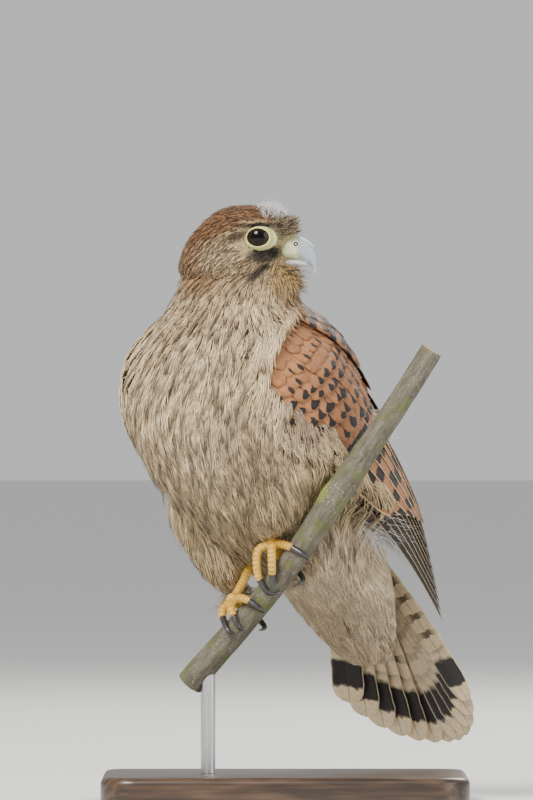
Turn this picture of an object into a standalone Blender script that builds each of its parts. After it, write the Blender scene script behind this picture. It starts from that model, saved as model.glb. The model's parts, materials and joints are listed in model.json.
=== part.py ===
# A juvenile common kestrel gripping a steep cut branch, on a plain display stand.
# Life size, in metres, +Z up. The breast faces -Y and a little -X, and the bill points to +X.

import math

import bmesh
import bpy
import numpy as np
from mathutils import Matrix, Vector

MM = 0.001
GAP = 0.3  # the space kept between two pieces that meet; every size below is in millimetres

# The bird's place and pose
CHEST = Vector((-18, -12, 171))  # the middle of the body at its widest
YAW = math.radians(40)  # how far the breast is turned from -Y towards -X
LEAN = math.radians(33)  # how far the body leans forward from upright
HEAD_HEIGHT = 227.6
HEAD_TURN = math.radians(8)  # the bill points this far from +X towards -Y

# Directions: out of the breast, towards its left wing, up along the back, out of the belly
FORWARD = Vector((-math.sin(YAW), -math.cos(YAW), 0))
LEFT = Vector((math.cos(YAW), -math.sin(YAW), 0))
SKY = Vector((0, 0, 1))
UP = FORWARD * math.sin(LEAN) + SKY * math.cos(LEAN)
VENTRAL = FORWARD * math.cos(LEAN) - SKY * math.sin(LEAN)
HEAD_AHEAD = Vector((math.cos(HEAD_TURN), -math.sin(HEAD_TURN), 0))
HEAD_LEFT = Vector((math.sin(HEAD_TURN), math.cos(HEAD_TURN), 0))

# Head stations: height from its middle, back and front of the section, half width
HEAD = (
    (17, -3, 9, 4.5),
    (15.4, -8.5, 15.5, 9.8),
    (11, -15, 22, 14),
    (5, -20.5, 24.2, 17),
    (0, -23.6, 22.6, 18),
    (-5, -25.2, 21.6, 19),
    (-10, -26.2, 24.5, 20.5),
)
FACE_NARROWING = 0.42  # how much narrower the face is at the bill

# Body stations: height, shift forward, tilt of the section in degrees, half width, half depth
TRUNK = (
    (213, 1, 0, 25, 24),
    (204, 4, 3, 27.5, 26),
    (196, 5, 6, 31, 31),
    (187, 5, 12, 36.5, 39),
    (171, 3, 24, 40.5, 47),
    (150, -11, 33, 40, 45.5),
    (129, -27, 33, 37, 41),
    (113, -40, 33, 33, 32),
    (99.5, -55, 33, 28, 21),
    (83.5, -65, 33, 26, 12),
    (67, -76, 33, 19, 7.5),
    (55, -84.5, 33, 8, 3.5),
)
BODY_SIDES = 24
BODY_ROWS = 2  # rows of faces between two stations
BODY_END = len(HEAD) + len(TRUNK) - 1
NECK_TOP = len(HEAD) - 0.5
NECK_FOOT = len(HEAD) + 1.5
VENT = len(HEAD) + 7.5
UNDERTAIL_END = BODY_END - 0.5

# Eyes and lids, in the head's own directions
EYE_RADIUS = 6.2
EYE_AHEAD = 9.0
EYE_RAISE = 3.7
EYE_OUT = 10.0
LID_OUT = 14.7
LID_LONG = 5.2
LID_TALL = 4.3
LID_RADIUS = 1.1
LID_TURN = 0.5

# Bill stations: ahead, up, half height, half width
UPPER_BILL = (
    (16, -0.6, 4.6, 5),
    (21, -0.5, 4.5, 4.4),
    (25, -1.2, 4.4, 3.6),
    (28.4, -3.6, 3.1, 2.6),
    (30, -6.4, 1.9, 1.7),
    (30.5, -8.8, 1.1, 1.0),
    (30.2, -11, 0.35, 0.35),
)
LOWER_BILL = (
    (14, -7.5, 1.9, 4.2),
    (20, -7.4, 1.9, 3.6),
    (24.5, -7.7, 1.6, 2.7),
    (27.6, -8.1, 0.8, 1.4),
)
NOSTRIL = (23.4, 3.9, 1.0)  # ahead, out to the side, up
NOSTRIL_RADIUS = 1.1
MOUTH_CORNER = 13.4
MOUTH_HEIGHT = -5.35
MOUTH_LENGTH = 14
MOUTH_SLOT = 0.5

# A vane's outline: place along it and share of its full width
VANE_THICKNESS = 0.6
VANE_TAPER = 0.35  # how much thinner a vane is at its tip
TIP_ROUND = ((0, 0.4), (0.25, 0.85), (0.6, 1.0), (0.88, 0.8), (1, 0.28))
TIP_SHARP = ((0, 0.4), (0.25, 0.9), (0.65, 0.9), (0.88, 0.62), (1, 0.16))
TIP_SHORT = ((0, 0.55), (0.5, 1.0), (0.85, 0.85), (1, 0.3))
VANE_CROWN = 0.02  # how high the middle of a vane stands, as a share of its width

# The form under a folded wing: distance up the body, shift to the belly, half width, half depth
WRAP = (
    (38, 4, 20, 20),
    (24, 4, 30, 31),
    (8, 3, 37.5, 40),
    (-10, 2, 40.5, 43.5),
    (-30, 1, 41, 43.5),
    (-55, 0, 43, 43),
    (-85, -2, 43, 39),
    (-110, -4, 41, 35),
    (-135, -5, 39, 32),
)
WRAP_GIRTH = 40  # turns a distance across the wing into an angle
# The wing's front and back edges: distances up the body and angles from the bird's side to its back
WING_FRONT = ((-135, -79, -38, -5, 20, 32), (31, 10, -15, -27, -34, -8))
WING_BACK = ((-135, -100, -70, -40, 0, 22, 32), (34, 45, 60, 75, 82, 78, 56))
# The wing's core: distances up the body, outer and inner heights over the form
CORE_UP = (32, 25, 12, -4, -20, -36, -50, -62)
CORE_OUTER = (2.4, 4.2, 4.4, 4.2, 3.8, 3.0, 2.2, 1.4)
CORE_INNER = (-1.5, -2, -2, -1.5, -1, -1, -0.8, -0.6)
CORE_COLUMNS = 8
# Tiers of coverts: roots, tips, count, width, heights at root and tip, front and back shares
TIERS = (
    (28, 11, 5, 16, 3.0, 5.4, 0.02, 0.97),
    (16, -2, 6, 15.5, 3.0, 5.6, 0.0, 0.96),
    (3, -18, 6, 15.5, 2.9, 5.6, 0.02, 0.96),
    (-10, -38, 7, 13.5, 2.4, 5.2, 0.04, 0.96),
)
TIER_ROLL = -0.08  # a covert's front edge lies over the one in front of it
SECONDARIES = 7
SECONDARY_ROOT = -24
SECONDARY_WIDTH = 12
SECONDARY_TIPS = (-66, -88)  # distances up the body, at the front and at the longest one
SECONDARY_SHARES = (0.1, 0.94)  # where the first and last one lie across the wing
SECONDARY_ROLL = -0.17
PRIMARIES = 6
PRIMARY_ROOT = -52
PRIMARY_WIDTH = 10
PRIMARY_TIP = -129
PRIMARY_SPREAD = 38  # how far the tips of the inner primaries fall short
PRIMARY_STEP = 0.8  # each primary lies this far over the next one out
PRIMARY_ROOTS = 0.6  # the share of the wing's width that their roots take up
PRIMARY_FAN = 13  # degrees between the tips of the first and last one

# Tail: a fan of feathers, the outer ones nearest the ground
TAIL_FEATHERS = 12
TAIL_LENGTH = 107
TAIL_WIDTH = 14
TAIL_ROOT = Vector((2, -23, -84))  # left, ventral and up
TAIL_SHORTER = 0.2  # how much shorter the outermost feathers are
TAIL_FAN = math.radians(38)
TAIL_SWING = math.radians(3)
TAIL_STEP = 1.0  # height between one feather and the next
TAIL_SPREAD = 5  # how far the roots of the outer feathers stand from the middle
TAIL_BEND = 6  # how far the tips lie nearer the belly's side than the roots
TAIL_ROOF = 0.003  # how much the fan falls away to both sides
TAIL_CORE = ((-86, 13, 5), (-100, 15, 5), (-112, 15, 3.6), (-124, 12, 1.6))  # up, half width, half depth
TAIL_CORE_SIDES = 16
TAIL_CORE_ROWS = 3

# Undertail covert tiers: root and tip stations from the body's end, count, spread of angles, width
UNDERTAIL_HEIGHTS = (-0.7, 1.2)
UNDERTAIL_TIERS = (
    (-2.6, -1.15, 5, 62, 17),
    (-1.6, -0.08, 3, 46, 16),
)

# Thighs: left, ventral and up, with a radius at each
THIGHS = {
    "left": ((24, 14, -22, 16), (19, 26, -37, 15), (14, 29.5, -46, 10.5), (11, 28, -52, 5)),
    "right": ((-20, 16, -28, 15), (-20, 27, -46, 15), (-15, 34, -62, 11), (-11, 38.5, -74, 5)),
}
THIGH_SIDES = 14
THIGH_ROWS = 3

# Legs, by points in space: the bare shank down to the pad, then each toe and the bend and tip of its claw
LEGS = {
    "left": {
        "shank": ((-4.5, -9, 117), (-5, -15, 112), (-5.2, -23, 106.4)),
        "outer": (
            ((-5.6, -23, 106), (-10.6, -24, 104), (-11.6, -25, 98), (-10.4, -25.2, 90.5)),
            ((-6.2, -25.6, 86.2), (-1.6, -24.6, 87)),
        ),
        "middle": (
            ((-5, -23.6, 106.3), (-5.4, -27.5, 104.5), (-5.4, -29.5, 98.5), (-5.2, -28.2, 93)),
            ((-5.2, -28.4, 89.2), (-5.6, -28.2, 86.2)),
        ),
        "inner": (
            ((-4.5, -23.6, 106.5), (-0.6, -27.5, 106), (3.6, -32, 104.5)),
            ((8, -33.6, 101.6), (9.6, -31.4, 99.4)),
        ),
        "hind": (
            ((-5, -22, 105.4), (-2.9, -18.9, 102.3), (1.6, -16.5, 98.6), (5.4, -17.8, 95)),
            ((7.3, -22, 91.4), (3.4, -25.4, 88.8)),
        ),
    },
    "right": {
        "shank": ((-14, 1, 99), (-17, -4, 91), (-21.4, -10.5, 83.2)),
        "outer": (
            ((-22, -11, 82.6), (-25.4, -13.5, 79), (-25.6, -15.5, 75)),
            ((-23.4, -19.6, 71), (-20, -20.4, 69.6)),
        ),
        "middle": (
            ((-21, -12.5, 82.6), (-22.2, -18.5, 80), (-20.8, -20.8, 76)),
            ((-19, -21.8, 72.6), (-17, -21.2, 70.8)),
        ),
        "inner": (
            ((-20, -13, 83.2), (-17.6, -19, 84), (-13.8, -22.5, 82.6)),
            ((-10, -23.2, 79.6), (-8.6, -21, 77.6)),
        ),
        "hind": (
            ((-20.6, -8.6, 83), (-18.2, -4.6, 80.4), (-13.2, -4.2, 76.8), (-10, -6.4, 74.6)),
            ((-8.4, -12, 72), (-10.6, -15.6, 70.8)),
        ),
    },
}
TOES = ("outer", "middle", "inner", "hind")
SHANK_RADIUS = 1.95
TOE_RADIUS = 1.9
PAD_RADIUS = 2.9
CLAW_RADII = (1.35, 1.0, 0.3)
CLAW_ROOT = 0.8  # how far back in its toe a claw starts, before it is cut to meet it
SCUTE_STEPS = 4  # rings between two points of a toe, every second one raised

# Branch: points along its middle from the low cut end, and how its thickness varies
BRANCH = (
    (-39, -3, 49),
    (-33.6, -5.5, 55.4),
    (-14.3, -14, 77.5),
    (-0.8, -21.5, 94.3),
    (6.2, -27, 104.1),
    (22.6, -40, 128.7),
    (35.7, -46, 148.4),
    (46.7, -50, 164.8),
    (59.5, -53, 185.3),
)
BRANCH_GIRTH = (1.08, 1.06, 1.0, 0.98, 1.0, 1.1, 0.94, 0.9, 0.88)
BRANCH_RADIUS = 5.2
BRANCH_SIDES = 10
BRANCH_ROWS = 3

# Stand
BASE_SIZE = Vector((150, 130, 12))
BASE_CORNER = 14
BASE_EDGE = 3
ROD_PLACE = (-31.5, -6.4)
ROD_RADIUS = 3
ROD_REACH = 6  # how far the rod would run on into the branch before it is cut to meet it


def clearScene():
    for item in list(bpy.data.objects):
        bpy.data.objects.remove(item)


def makeMaterial(name, colour, roughness, metallic=0.0):
    material = bpy.data.materials.new(name)
    material.use_nodes = True
    shader = material.node_tree.nodes["Principled BSDF"]
    shader.inputs["Base Color"].default_value = (*colour, 1)
    shader.inputs["Roughness"].default_value = roughness
    shader.inputs["Metallic"].default_value = metallic
    return material


# A shape drawn in millimetres becomes an object in metres
def makeObject(name, shape, material=None):
    bmesh.ops.recalc_face_normals(shape, faces=shape.faces)
    bmesh.ops.scale(shape, vec=(MM, MM, MM), verts=shape.verts)
    mesh = bpy.data.meshes.new(name)
    shape.to_mesh(mesh)
    shape.free()
    mesh.shade_smooth()
    item = bpy.data.objects.new(name, mesh)
    bpy.context.scene.collection.objects.link(item)
    if material:
        mesh.materials.append(material)
    return item


# A smooth curve through rows of numbers, read at t from 0 to the last row
def through(rows, t):
    last = len(rows) - 1
    start = min(max(int(math.floor(t)), 0), last - 1)
    f = t - start
    a, b, c, d = (np.array(rows[min(max(i, 0), last)], dtype=float) for i in range(start - 1, start + 3))
    bend = (2 * a - 5 * b + 4 * c - d) * f**2 + (3 * b - a - 3 * c + d) * f**3
    return 0.5 * (2 * b + (c - a) * f + bend)


# A closed body from rings of points, each end closed by a fan
def loftRings(rings):
    shape = bmesh.new()
    rows = [[shape.verts.new(point) for point in ring] for ring in rings]
    sides = len(rows[0])
    for low, high in zip(rows, rows[1:]):
        for i in range(sides):
            j = (i + 1) % sides
            shape.faces.new((low[i], low[j], high[i]))
            shape.faces.new((low[j], high[j], high[i]))
    for row in (rows[0], rows[-1]):
        middle = shape.verts.new(sum((vert.co for vert in row), Vector()) / sides)
        for i in range(sides):
            shape.faces.new((row[i], row[(i + 1) % sides], middle))
    return shape


def turnsOf(sides):
    return [2 * math.pi * k / sides for k in range(sides)]


# A round tube through points, with a radius at each
def tube(points, radii, sides, steps):
    rows = [(*point, radius) for point, radius in zip(points, radii)]
    count = (len(rows) - 1) * steps
    samples = [through(rows, i / steps) for i in range(count + 1)]
    middles = [Vector(sample[:3]) for sample in samples]
    rings = []
    side = None
    for i, sample in enumerate(samples):
        along = (middles[min(i + 1, count)] - middles[max(i - 1, 0)]).normalized()
        side = along.orthogonal() if side is None else side - along * side.dot(along)
        side.normalize()
        across = along.cross(side)
        spokes = [side * math.cos(turn) + across * math.sin(turn) for turn in turnsOf(sides)]
        rings.append([middles[i] + spoke * sample[3] for spoke in spokes])
    return loftRings(rings)


def ball(middle, radius, sides=14, rows=8):
    shape = bmesh.new()
    bmesh.ops.create_uvsphere(shape, u_segments=sides, v_segments=rows, radius=radius)
    bmesh.ops.translate(shape, vec=middle, verts=shape.verts)
    return shape


# The result of a Boolean takes the place of the object's mesh
def applyBoolean(item, operation, solver, operand=None, collection=None):
    change = item.modifiers.new("change", "BOOLEAN")
    change.operation = operation
    change.solver = solver
    if collection:
        change.operand_type = "COLLECTION"
        change.collection = collection
    else:
        change.object = operand
    graph = bpy.context.evaluated_depsgraph_get()
    mesh = bpy.data.meshes.new_from_object(item.evaluated_get(graph))
    item.modifiers.clear()
    old = item.data
    item.data = mesh
    bpy.data.meshes.remove(old)
    mesh.name = item.name


# Only the largest closed surface of a piece is kept, which drops loose scraps and sealed hollows
def keepLargest(item):
    shape = bmesh.new()
    shape.from_mesh(item.data)
    seen = set()
    best = []
    for first in shape.faces:
        if first in seen:
            continue
        seen.add(first)
        group = [first]
        for face in group:
            fresh = {other for edge in face.edges for other in edge.link_faces} - seen
            seen |= fresh
            group.extend(sorted(fresh, key=lambda other: other.index))
        if len(group) > len(best):
            best = group
    kept = set(best)
    bmesh.ops.delete(shape, geom=[face for face in shape.faces if face not in kept], context="FACES")
    bmesh.ops.triangulate(shape, faces=shape.faces)
    shape.to_mesh(item.data)
    shape.free()
    item.data.shade_smooth()


# An object is joined with the pieces, which are then removed
def joinPieces(item, pieces, solver="EXACT"):
    group = bpy.data.collections.new(item.name + " pieces")
    bpy.context.scene.collection.children.link(group)
    for piece in pieces:
        bpy.context.scene.collection.objects.unlink(piece)
        group.objects.link(piece)
    applyBoolean(item, "UNION", solver, collection=group)
    for piece in pieces:
        bpy.data.objects.remove(piece)
    bpy.data.collections.remove(group)
    keepLargest(item)


# A shape is taken away from an object
def carve(item, shape, solver="EXACT"):
    cutter = makeObject("cutter", shape)
    cutter.hide_render = True
    cutter.display_type = "WIRE"
    applyBoolean(item, "DIFFERENCE", solver, operand=cutter)
    bpy.data.objects.remove(cutter)
    keepLargest(item)


def headPoint(ahead, side, up):
    return Vector((CHEST.x, CHEST.y, HEAD_HEIGHT)) + HEAD_AHEAD * ahead + HEAD_LEFT * side + SKY * up


def local(left, ventral, up):
    return CHEST + LEFT * left + VENTRAL * ventral + UP * up


# A section of the body as one row: its middle, two half axes and how much it narrows forward
def headRow(station):
    height, back, front, wide = station
    middle = headPoint((back + front) / 2, 0, height)
    return [*middle, *(HEAD_AHEAD * (front - back) / 2), *(HEAD_LEFT * wide), FACE_NARROWING]


def trunkRow(station):
    height, forward, tilt, wide, deep = station
    tilt = math.radians(tilt)
    middle = Vector((CHEST.x, CHEST.y, height)) + FORWARD * forward
    back = SKY * math.sin(tilt) - FORWARD * math.cos(tilt)
    return [*middle, *(LEFT * wide), *(back * deep), 0]


BODY = [headRow(station) for station in HEAD] + [trunkRow(station) for station in TRUNK]


# The body's surface at a station and an angle, from its left side towards its back
def bodyPoint(t, angle, lift=0.0):
    row = through(BODY, t)
    middle = Vector(row[:3])
    narrowing = 1 - row[9] * max(0.0, math.cos(angle))
    point = middle + Vector(row[3:6]) * math.cos(angle) + Vector(row[6:9]) * math.sin(angle) * narrowing
    if not lift:
        return point
    step = 0.02
    along = bodyPoint(min(t + step, BODY_END), angle) - bodyPoint(max(t - step, 0), angle)
    around = bodyPoint(t, angle + step) - bodyPoint(t, angle - step)
    normal = along.cross(around).normalized()
    if normal.dot(point - middle) < 0:
        normal.negate()
    return point + normal * lift


# Rings between two stations. All pieces share these places, so that their facets lie alike.
def bodyRings(start, end, lift=0.0):
    grid = [k / BODY_ROWS for k in range(BODY_END * BODY_ROWS + 1)] + [NECK_TOP, NECK_FOOT, VENT]
    inner = [t for t in sorted(set(grid)) if start + 0.05 < t < end - 0.05]
    return [[bodyPoint(t, angle, lift) for angle in turnsOf(BODY_SIDES)] for t in [start, *inner, end]]


# The step along the stations that leaves a gap between two parts of the body
def stationGap(t):
    step = 0.01
    moved = Vector(through(BODY, t + step)[:3]) - Vector(through(BODY, t)[:3])
    return GAP / moved.length * step * 1.1


# The whole body grown by a gap, which cuts other pieces to meet it
def bodyCutter(start=NECK_TOP - 1):
    return loftRings(bodyRings(start, BODY_END, GAP))


# A thin curved plate. The place function turns along, across and height into a point.
def vane(place, outline, width, heights, roll, columns):
    shape = bmesh.new()
    top = []
    bottom = []
    for along, share in outline:
        rise = heights[0] + (heights[1] - heights[0]) * math.sin(along * math.pi / 2)
        thick = VANE_THICKNESS * (1 - VANE_TAPER * along)
        upper = []
        lower = []
        for k in range(columns):
            side = 2 * k / (columns - 1) - 1
            across = side * share * width / 2
            crown = 0.0 if columns == 2 else (1 - abs(side)) * width * VANE_CROWN
            height = rise + across * roll + crown
            upper.append(shape.verts.new(place(along, across, height)))
            lower.append(shape.verts.new(place(along, across, height - thick)))
        top.append(upper)
        bottom.append(lower)
    # Both faces are split along the same diagonals
    for i in range(len(top) - 1):
        for k in range(columns - 1):
            for grid in (top, bottom):
                shape.faces.new((grid[i][k], grid[i][k + 1], grid[i + 1][k]))
                shape.faces.new((grid[i][k + 1], grid[i + 1][k + 1], grid[i + 1][k]))
        for k in (0, columns - 1):
            shape.faces.new((top[i][k], bottom[i][k], bottom[i + 1][k], top[i + 1][k]))
    for i in (0, len(top) - 1):
        for k in range(columns - 1):
            shape.faces.new((top[i][k], top[i][k + 1], bottom[i][k + 1], bottom[i][k]))
    return makeObject("vane", shape)


def makeHead(material):
    head = makeObject("head", loftRings(bodyRings(0, NECK_TOP)), material)
    for hand in (1, -1):
        lid = makeObject("lid", lidShape(hand))
        joinPieces(head, [lid])
        carve(head, ball(headPoint(EYE_AHEAD, hand * EYE_OUT, EYE_RAISE), EYE_RADIUS + GAP))
    slot = bmesh.new()
    bmesh.ops.create_cube(slot, size=1)
    bmesh.ops.scale(slot, vec=(MOUTH_LENGTH, 60, MOUTH_SLOT), verts=slot.verts)
    middle = Matrix.Translation(headPoint(MOUTH_CORNER + MOUTH_LENGTH / 2, 0, MOUTH_HEIGHT))
    bmesh.ops.transform(slot, matrix=middle @ Matrix.Rotation(-HEAD_TURN, 4, "Z"), verts=slot.verts)
    carve(head, slot)


# A raised oval rim round the eye, a little further in at its front
def lidShape(hand, count=18, sides=6):
    lid = bmesh.new()
    rings = []
    for turn in turnsOf(count):
        ring = []
        for roll in turnsOf(sides):
            reach = LID_RADIUS * math.cos(roll)
            ahead = EYE_AHEAD + (LID_LONG + reach) * math.cos(turn)
            up = EYE_RAISE + (LID_TALL + reach) * math.sin(turn)
            out = hand * (LID_OUT - LID_TURN * math.cos(turn)) + LID_RADIUS * math.sin(roll)
            ring.append(lid.verts.new(headPoint(ahead, out, up)))
        rings.append(ring)
    for k in range(count):
        low = rings[k]
        high = rings[(k + 1) % count]
        for j in range(sides):
            lid.faces.new((low[j], low[(j + 1) % sides], high[(j + 1) % sides], high[j]))
    return lid


def makeEye(side, hand, material):
    makeObject("eye_" + side, ball(headPoint(EYE_AHEAD, hand * EYE_OUT, EYE_RAISE), EYE_RADIUS), material)


# A tapered bill, each section square to the line along it
def billShape(stations, grow=0.0, sides=12, steps=2):
    count = (len(stations) - 1) * steps
    rings = []
    for i in range(count + 1):
        ahead, up, high, wide = through(stations, i / steps)
        before = through(stations, max(i - 1, 0) / steps)
        after = through(stations, min(i + 1, count) / steps)
        slope = math.atan2(after[1] - before[1], after[0] - before[0])
        ring = []
        for turn in turnsOf(sides):
            rise = (high + grow) * math.sin(turn)
            side = (wide + grow) * math.cos(turn)
            ring.append(headPoint(ahead - rise * math.sin(slope), side, up + rise * math.cos(slope)))
        rings.append(ring)
    return loftRings(rings)


def makeBill(material):
    upper = makeObject("bill_upper", billShape(UPPER_BILL), material)
    carve(upper, loftRings(bodyRings(0, NECK_FOOT, GAP)))
    for hand in (1, -1):
        carve(upper, ball(headPoint(NOSTRIL[0], hand * NOSTRIL[1], NOSTRIL[2]), NOSTRIL_RADIUS, 8, 6))
    lower = makeObject("bill_lower", billShape(LOWER_BILL), material)
    carve(lower, loftRings(bodyRings(0, NECK_FOOT, GAP)))
    carve(lower, billShape(UPPER_BILL, GAP))


def makeTrunk(material):
    makeObject("neck", loftRings(bodyRings(NECK_TOP + stationGap(NECK_TOP), NECK_FOOT)), material)
    makeObject("torso", loftRings(bodyRings(NECK_FOOT + stationGap(NECK_FOOT), VENT)), material)
    undertail = loftRings(bodyRings(VENT + stationGap(VENT), UNDERTAIL_END))
    undertail = makeObject("undertail_coverts", undertail, material)
    feathers = []
    for root, tip, count, spread, width in UNDERTAIL_TIERS:
        for i in range(count):
            share = 2 * (i + 0.5) / count - 1
            feathers.append(undertailVane(root, tip, math.radians(share * spread - 90), width))
    joinPieces(undertail, feathers, "MANIFOLD")


def undertailVane(root, tip, angle, width):
    def place(along, across, height):
        t = BODY_END + root + (tip - root) * along
        girth = Vector(through(BODY, t)[3:6]).length
        bend = angle + across / max(girth, width)
        return bodyPoint(t, bend, height)

    return vane(place, TIP_SHORT, width, UNDERTAIL_HEIGHTS, 0.0, 2)


# The form that the folded wing lies on, by distance up the body and angle
def wrapPoint(hand, up, angle, height):
    t = 0
    while t < len(WRAP) - 2 and WRAP[t + 1][0] > up:
        t += 1
    f = (WRAP[t][0] - up) / (WRAP[t][0] - WRAP[t + 1][0])
    _, ventral, wide, deep = through(WRAP, t + f)
    side = hand * (wide + height) * math.cos(angle)
    return local(side, ventral - (deep + height) * math.sin(angle), up)


# An angle across the wing, by its share from the front edge to the back edge
def wingAngle(up, share):
    front = np.interp(up, *WING_FRONT)
    back = np.interp(up, *WING_BACK)
    return math.radians(front + (back - front) * share)


# A feather from its root to its tip, each given as distance up the body and angle
def wingVane(hand, start, end, width, heights, roll, outline, columns):
    slant = math.atan((end[1] - start[1]) * WRAP_GIRTH / (start[0] - end[0]))

    def place(along, across, height):
        up = start[0] + (end[0] - start[0]) * along + across * math.sin(slant)
        angle = start[1] + (end[1] - start[1]) * along + across / WRAP_GIRTH * math.cos(slant)
        return wrapPoint(hand, up, angle, height)

    return vane(place, outline, width, heights, roll, columns)


# The solid under the coverts that every feather of the wing is rooted in
def coreShape(hand):
    shape = bmesh.new()
    upper = []
    lower = []
    for up, outer, inner in zip(CORE_UP, CORE_OUTER, CORE_INNER):
        front = wingAngle(up, 0) + math.radians(3)
        back = wingAngle(up, 1) - math.radians(4)
        angles = [front + (back - front) * k / CORE_COLUMNS for k in range(CORE_COLUMNS + 1)]
        edge = [0.55 if k in (0, CORE_COLUMNS) else 1 for k in range(CORE_COLUMNS + 1)]
        upper.append([shape.verts.new(wrapPoint(hand, up, a, outer * e)) for a, e in zip(angles, edge)])
        lower.append([shape.verts.new(wrapPoint(hand, up, a, inner)) for a in angles])
    for i in range(len(CORE_UP) - 1):
        for k in range(CORE_COLUMNS):
            for grid in (upper, lower):
                shape.faces.new((grid[i][k], grid[i][k + 1], grid[i + 1][k + 1], grid[i + 1][k]))
        for k in (0, CORE_COLUMNS):
            shape.faces.new((upper[i][k], lower[i][k], lower[i + 1][k], upper[i + 1][k]))
    for i in (0, len(CORE_UP) - 1):
        for k in range(CORE_COLUMNS):
            shape.faces.new((upper[i][k], upper[i][k + 1], lower[i][k + 1], lower[i][k]))
    return shape


def covertVanes(hand):
    for root, tip, count, width, low, high, first, last in TIERS:
        for i in range(count):
            share = first + (last - first) * (i + 0.5) / count
            start = (root, wingAngle(root, share))
            end = (tip, wingAngle(tip, share))
            yield wingVane(hand, start, end, width, (low, high), TIER_ROLL, TIP_SHORT, 2)


def secondaryVanes(hand):
    for i in range(SECONDARIES):
        first, last = SECONDARY_SHARES
        share = first + (last - first) * i / (SECONDARIES - 1)
        short, long = SECONDARY_TIPS
        tip = short + (long - short) * math.sin(share * math.pi * 0.6)
        start = (SECONDARY_ROOT, wingAngle(SECONDARY_ROOT, share))
        end = (tip, wingAngle(tip, share))
        yield wingVane(hand, start, end, SECONDARY_WIDTH, (1.6, 5.2), SECONDARY_ROLL, TIP_ROUND, 3)


def primaryVanes(hand):
    for i in range(PRIMARIES):
        share = i / (PRIMARIES - 1)
        tip = PRIMARY_TIP + PRIMARY_SPREAD * share**1.2
        start = (PRIMARY_ROOT, wingAngle(PRIMARY_ROOT, share * PRIMARY_ROOTS) + math.radians(5))
        end = (tip, wingAngle(tip, 0) + math.radians(1 + PRIMARY_FAN * share))
        yield wingVane(hand, start, end, PRIMARY_WIDTH, (0.4, 0.2 + PRIMARY_STEP * i), 0, TIP_SHARP, 2)


def makeWing(side, hand, material):
    wing = makeObject("wing_" + side, coreShape(hand), material)
    feathers = [*covertVanes(hand), *secondaryVanes(hand), *primaryVanes(hand)]
    joinPieces(wing, feathers, "MANIFOLD")
    carve(wing, bodyCutter(), "MANIFOLD")


def tailVane(index):
    share = 2 * index / (TAIL_FEATHERS - 1) - 1
    turn = TAIL_SWING + share * TAIL_FAN / 2
    length = TAIL_LENGTH * (1 - TAIL_SHORTER * share * share)

    def place(along, across, height):
        reach = along * length
        left = TAIL_ROOT.x + share * TAIL_SPREAD + reach * math.sin(turn) + across * math.cos(turn)
        up = TAIL_ROOT.z - reach * math.cos(turn) + across * math.sin(turn)
        droop = TAIL_ROOF * (left - TAIL_ROOT.x) ** 2 * along
        return local(left, TAIL_ROOT.y + TAIL_BEND * along - height + droop, up)

    level = min(index, TAIL_FEATHERS - 1 - index) * TAIL_STEP - 2.5
    if index >= TAIL_FEATHERS // 2:
        level += TAIL_STEP / 2
    return vane(place, TIP_ROUND, TAIL_WIDTH, (level, level + 1), 0.0, 3)


def makeTail(material):
    rings = []
    for i in range(TAIL_CORE_ROWS * (len(TAIL_CORE) - 1) + 1):
        up, wide, deep = through(TAIL_CORE, i / TAIL_CORE_ROWS)
        ring = []
        for turn in turnsOf(TAIL_CORE_SIDES):
            left = TAIL_ROOT.x + wide * math.cos(turn)
            ring.append(local(left, TAIL_ROOT.y + 2 + deep * math.sin(turn), up))
        rings.append(ring)
    tail = makeObject("tail", loftRings(rings), material)
    joinPieces(tail, [tailVane(i) for i in range(TAIL_FEATHERS)], "MANIFOLD")
    carve(tail, bodyCutter(VENT - 2), "MANIFOLD")


def thighPoint(side, t, turn, lift=0.0):
    rows = [(*local(*station[:3]), station[3]) for station in THIGHS[side]]
    row = through(rows, t)
    step = 0.05
    along = (Vector(through(rows, t + step)[:3]) - Vector(through(rows, t - step)[:3])).normalized()
    across = (LEFT - along * LEFT.dot(along)).normalized()
    outward = across * math.cos(turn) + along.cross(across) * math.sin(turn)
    return Vector(row[:3]) + outward * (row[3] + lift)


def thighShape(side, lift=0.0):
    last = (len(THIGHS[side]) - 1) * THIGH_ROWS
    rings = []
    for i in range(last + 1):
        rings.append([thighPoint(side, i / THIGH_ROWS, turn, lift) for turn in turnsOf(THIGH_SIDES)])
    return loftRings(rings)


def makeThigh(side, material):
    thigh = makeObject("thigh_" + side, thighShape(side), material)
    carve(thigh, bodyCutter())


# A toe's or shank's rings rise and fall, as its scutes do
def toeShape(points, radius, reach=0.0):
    last = (len(points) - 1) * SCUTE_STEPS
    middles = [Vector(through(points, i / SCUTE_STEPS)) for i in range(last + 1)]
    middles[-1] += (middles[-1] - middles[-2]).normalized() * reach
    radii = [radius * (1.08 if i % 2 else 0.92) * (1 - 0.18 * i / last) for i in range(last + 1)]
    return tube(middles, radii, 7, 1)


# A claw starts in the end of its toe
def clawShape(toe, bend):
    end = Vector(toe[-1])
    ahead = (end - Vector(toe[-2])).normalized()
    return tube((end - ahead * CLAW_ROOT, *bend), CLAW_RADII, 6, 2)


def makeLeg(side, skin, horn):
    parts = LEGS[side]
    foot = makeObject("foot_" + side, toeShape(parts["shank"], SHANK_RADIUS), skin)
    pieces = [makeObject("pad", ball(Vector(parts["shank"][-1]), PAD_RADIUS, 10, 8))]
    pieces += [makeObject("toe", toeShape(parts[toe][0], TOE_RADIUS)) for toe in TOES]
    joinPieces(foot, pieces)
    for shape in (branchShape(GAP), thighShape(side, GAP), bodyCutter()):
        carve(foot, shape)
    for toe in TOES:
        claw = makeObject("claw_" + side + "_" + toe, clawShape(*parts[toe]), horn)
        carve(claw, toeShape(parts[toe][0], TOE_RADIUS + GAP, GAP))
        carve(claw, branchShape(GAP))


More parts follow.
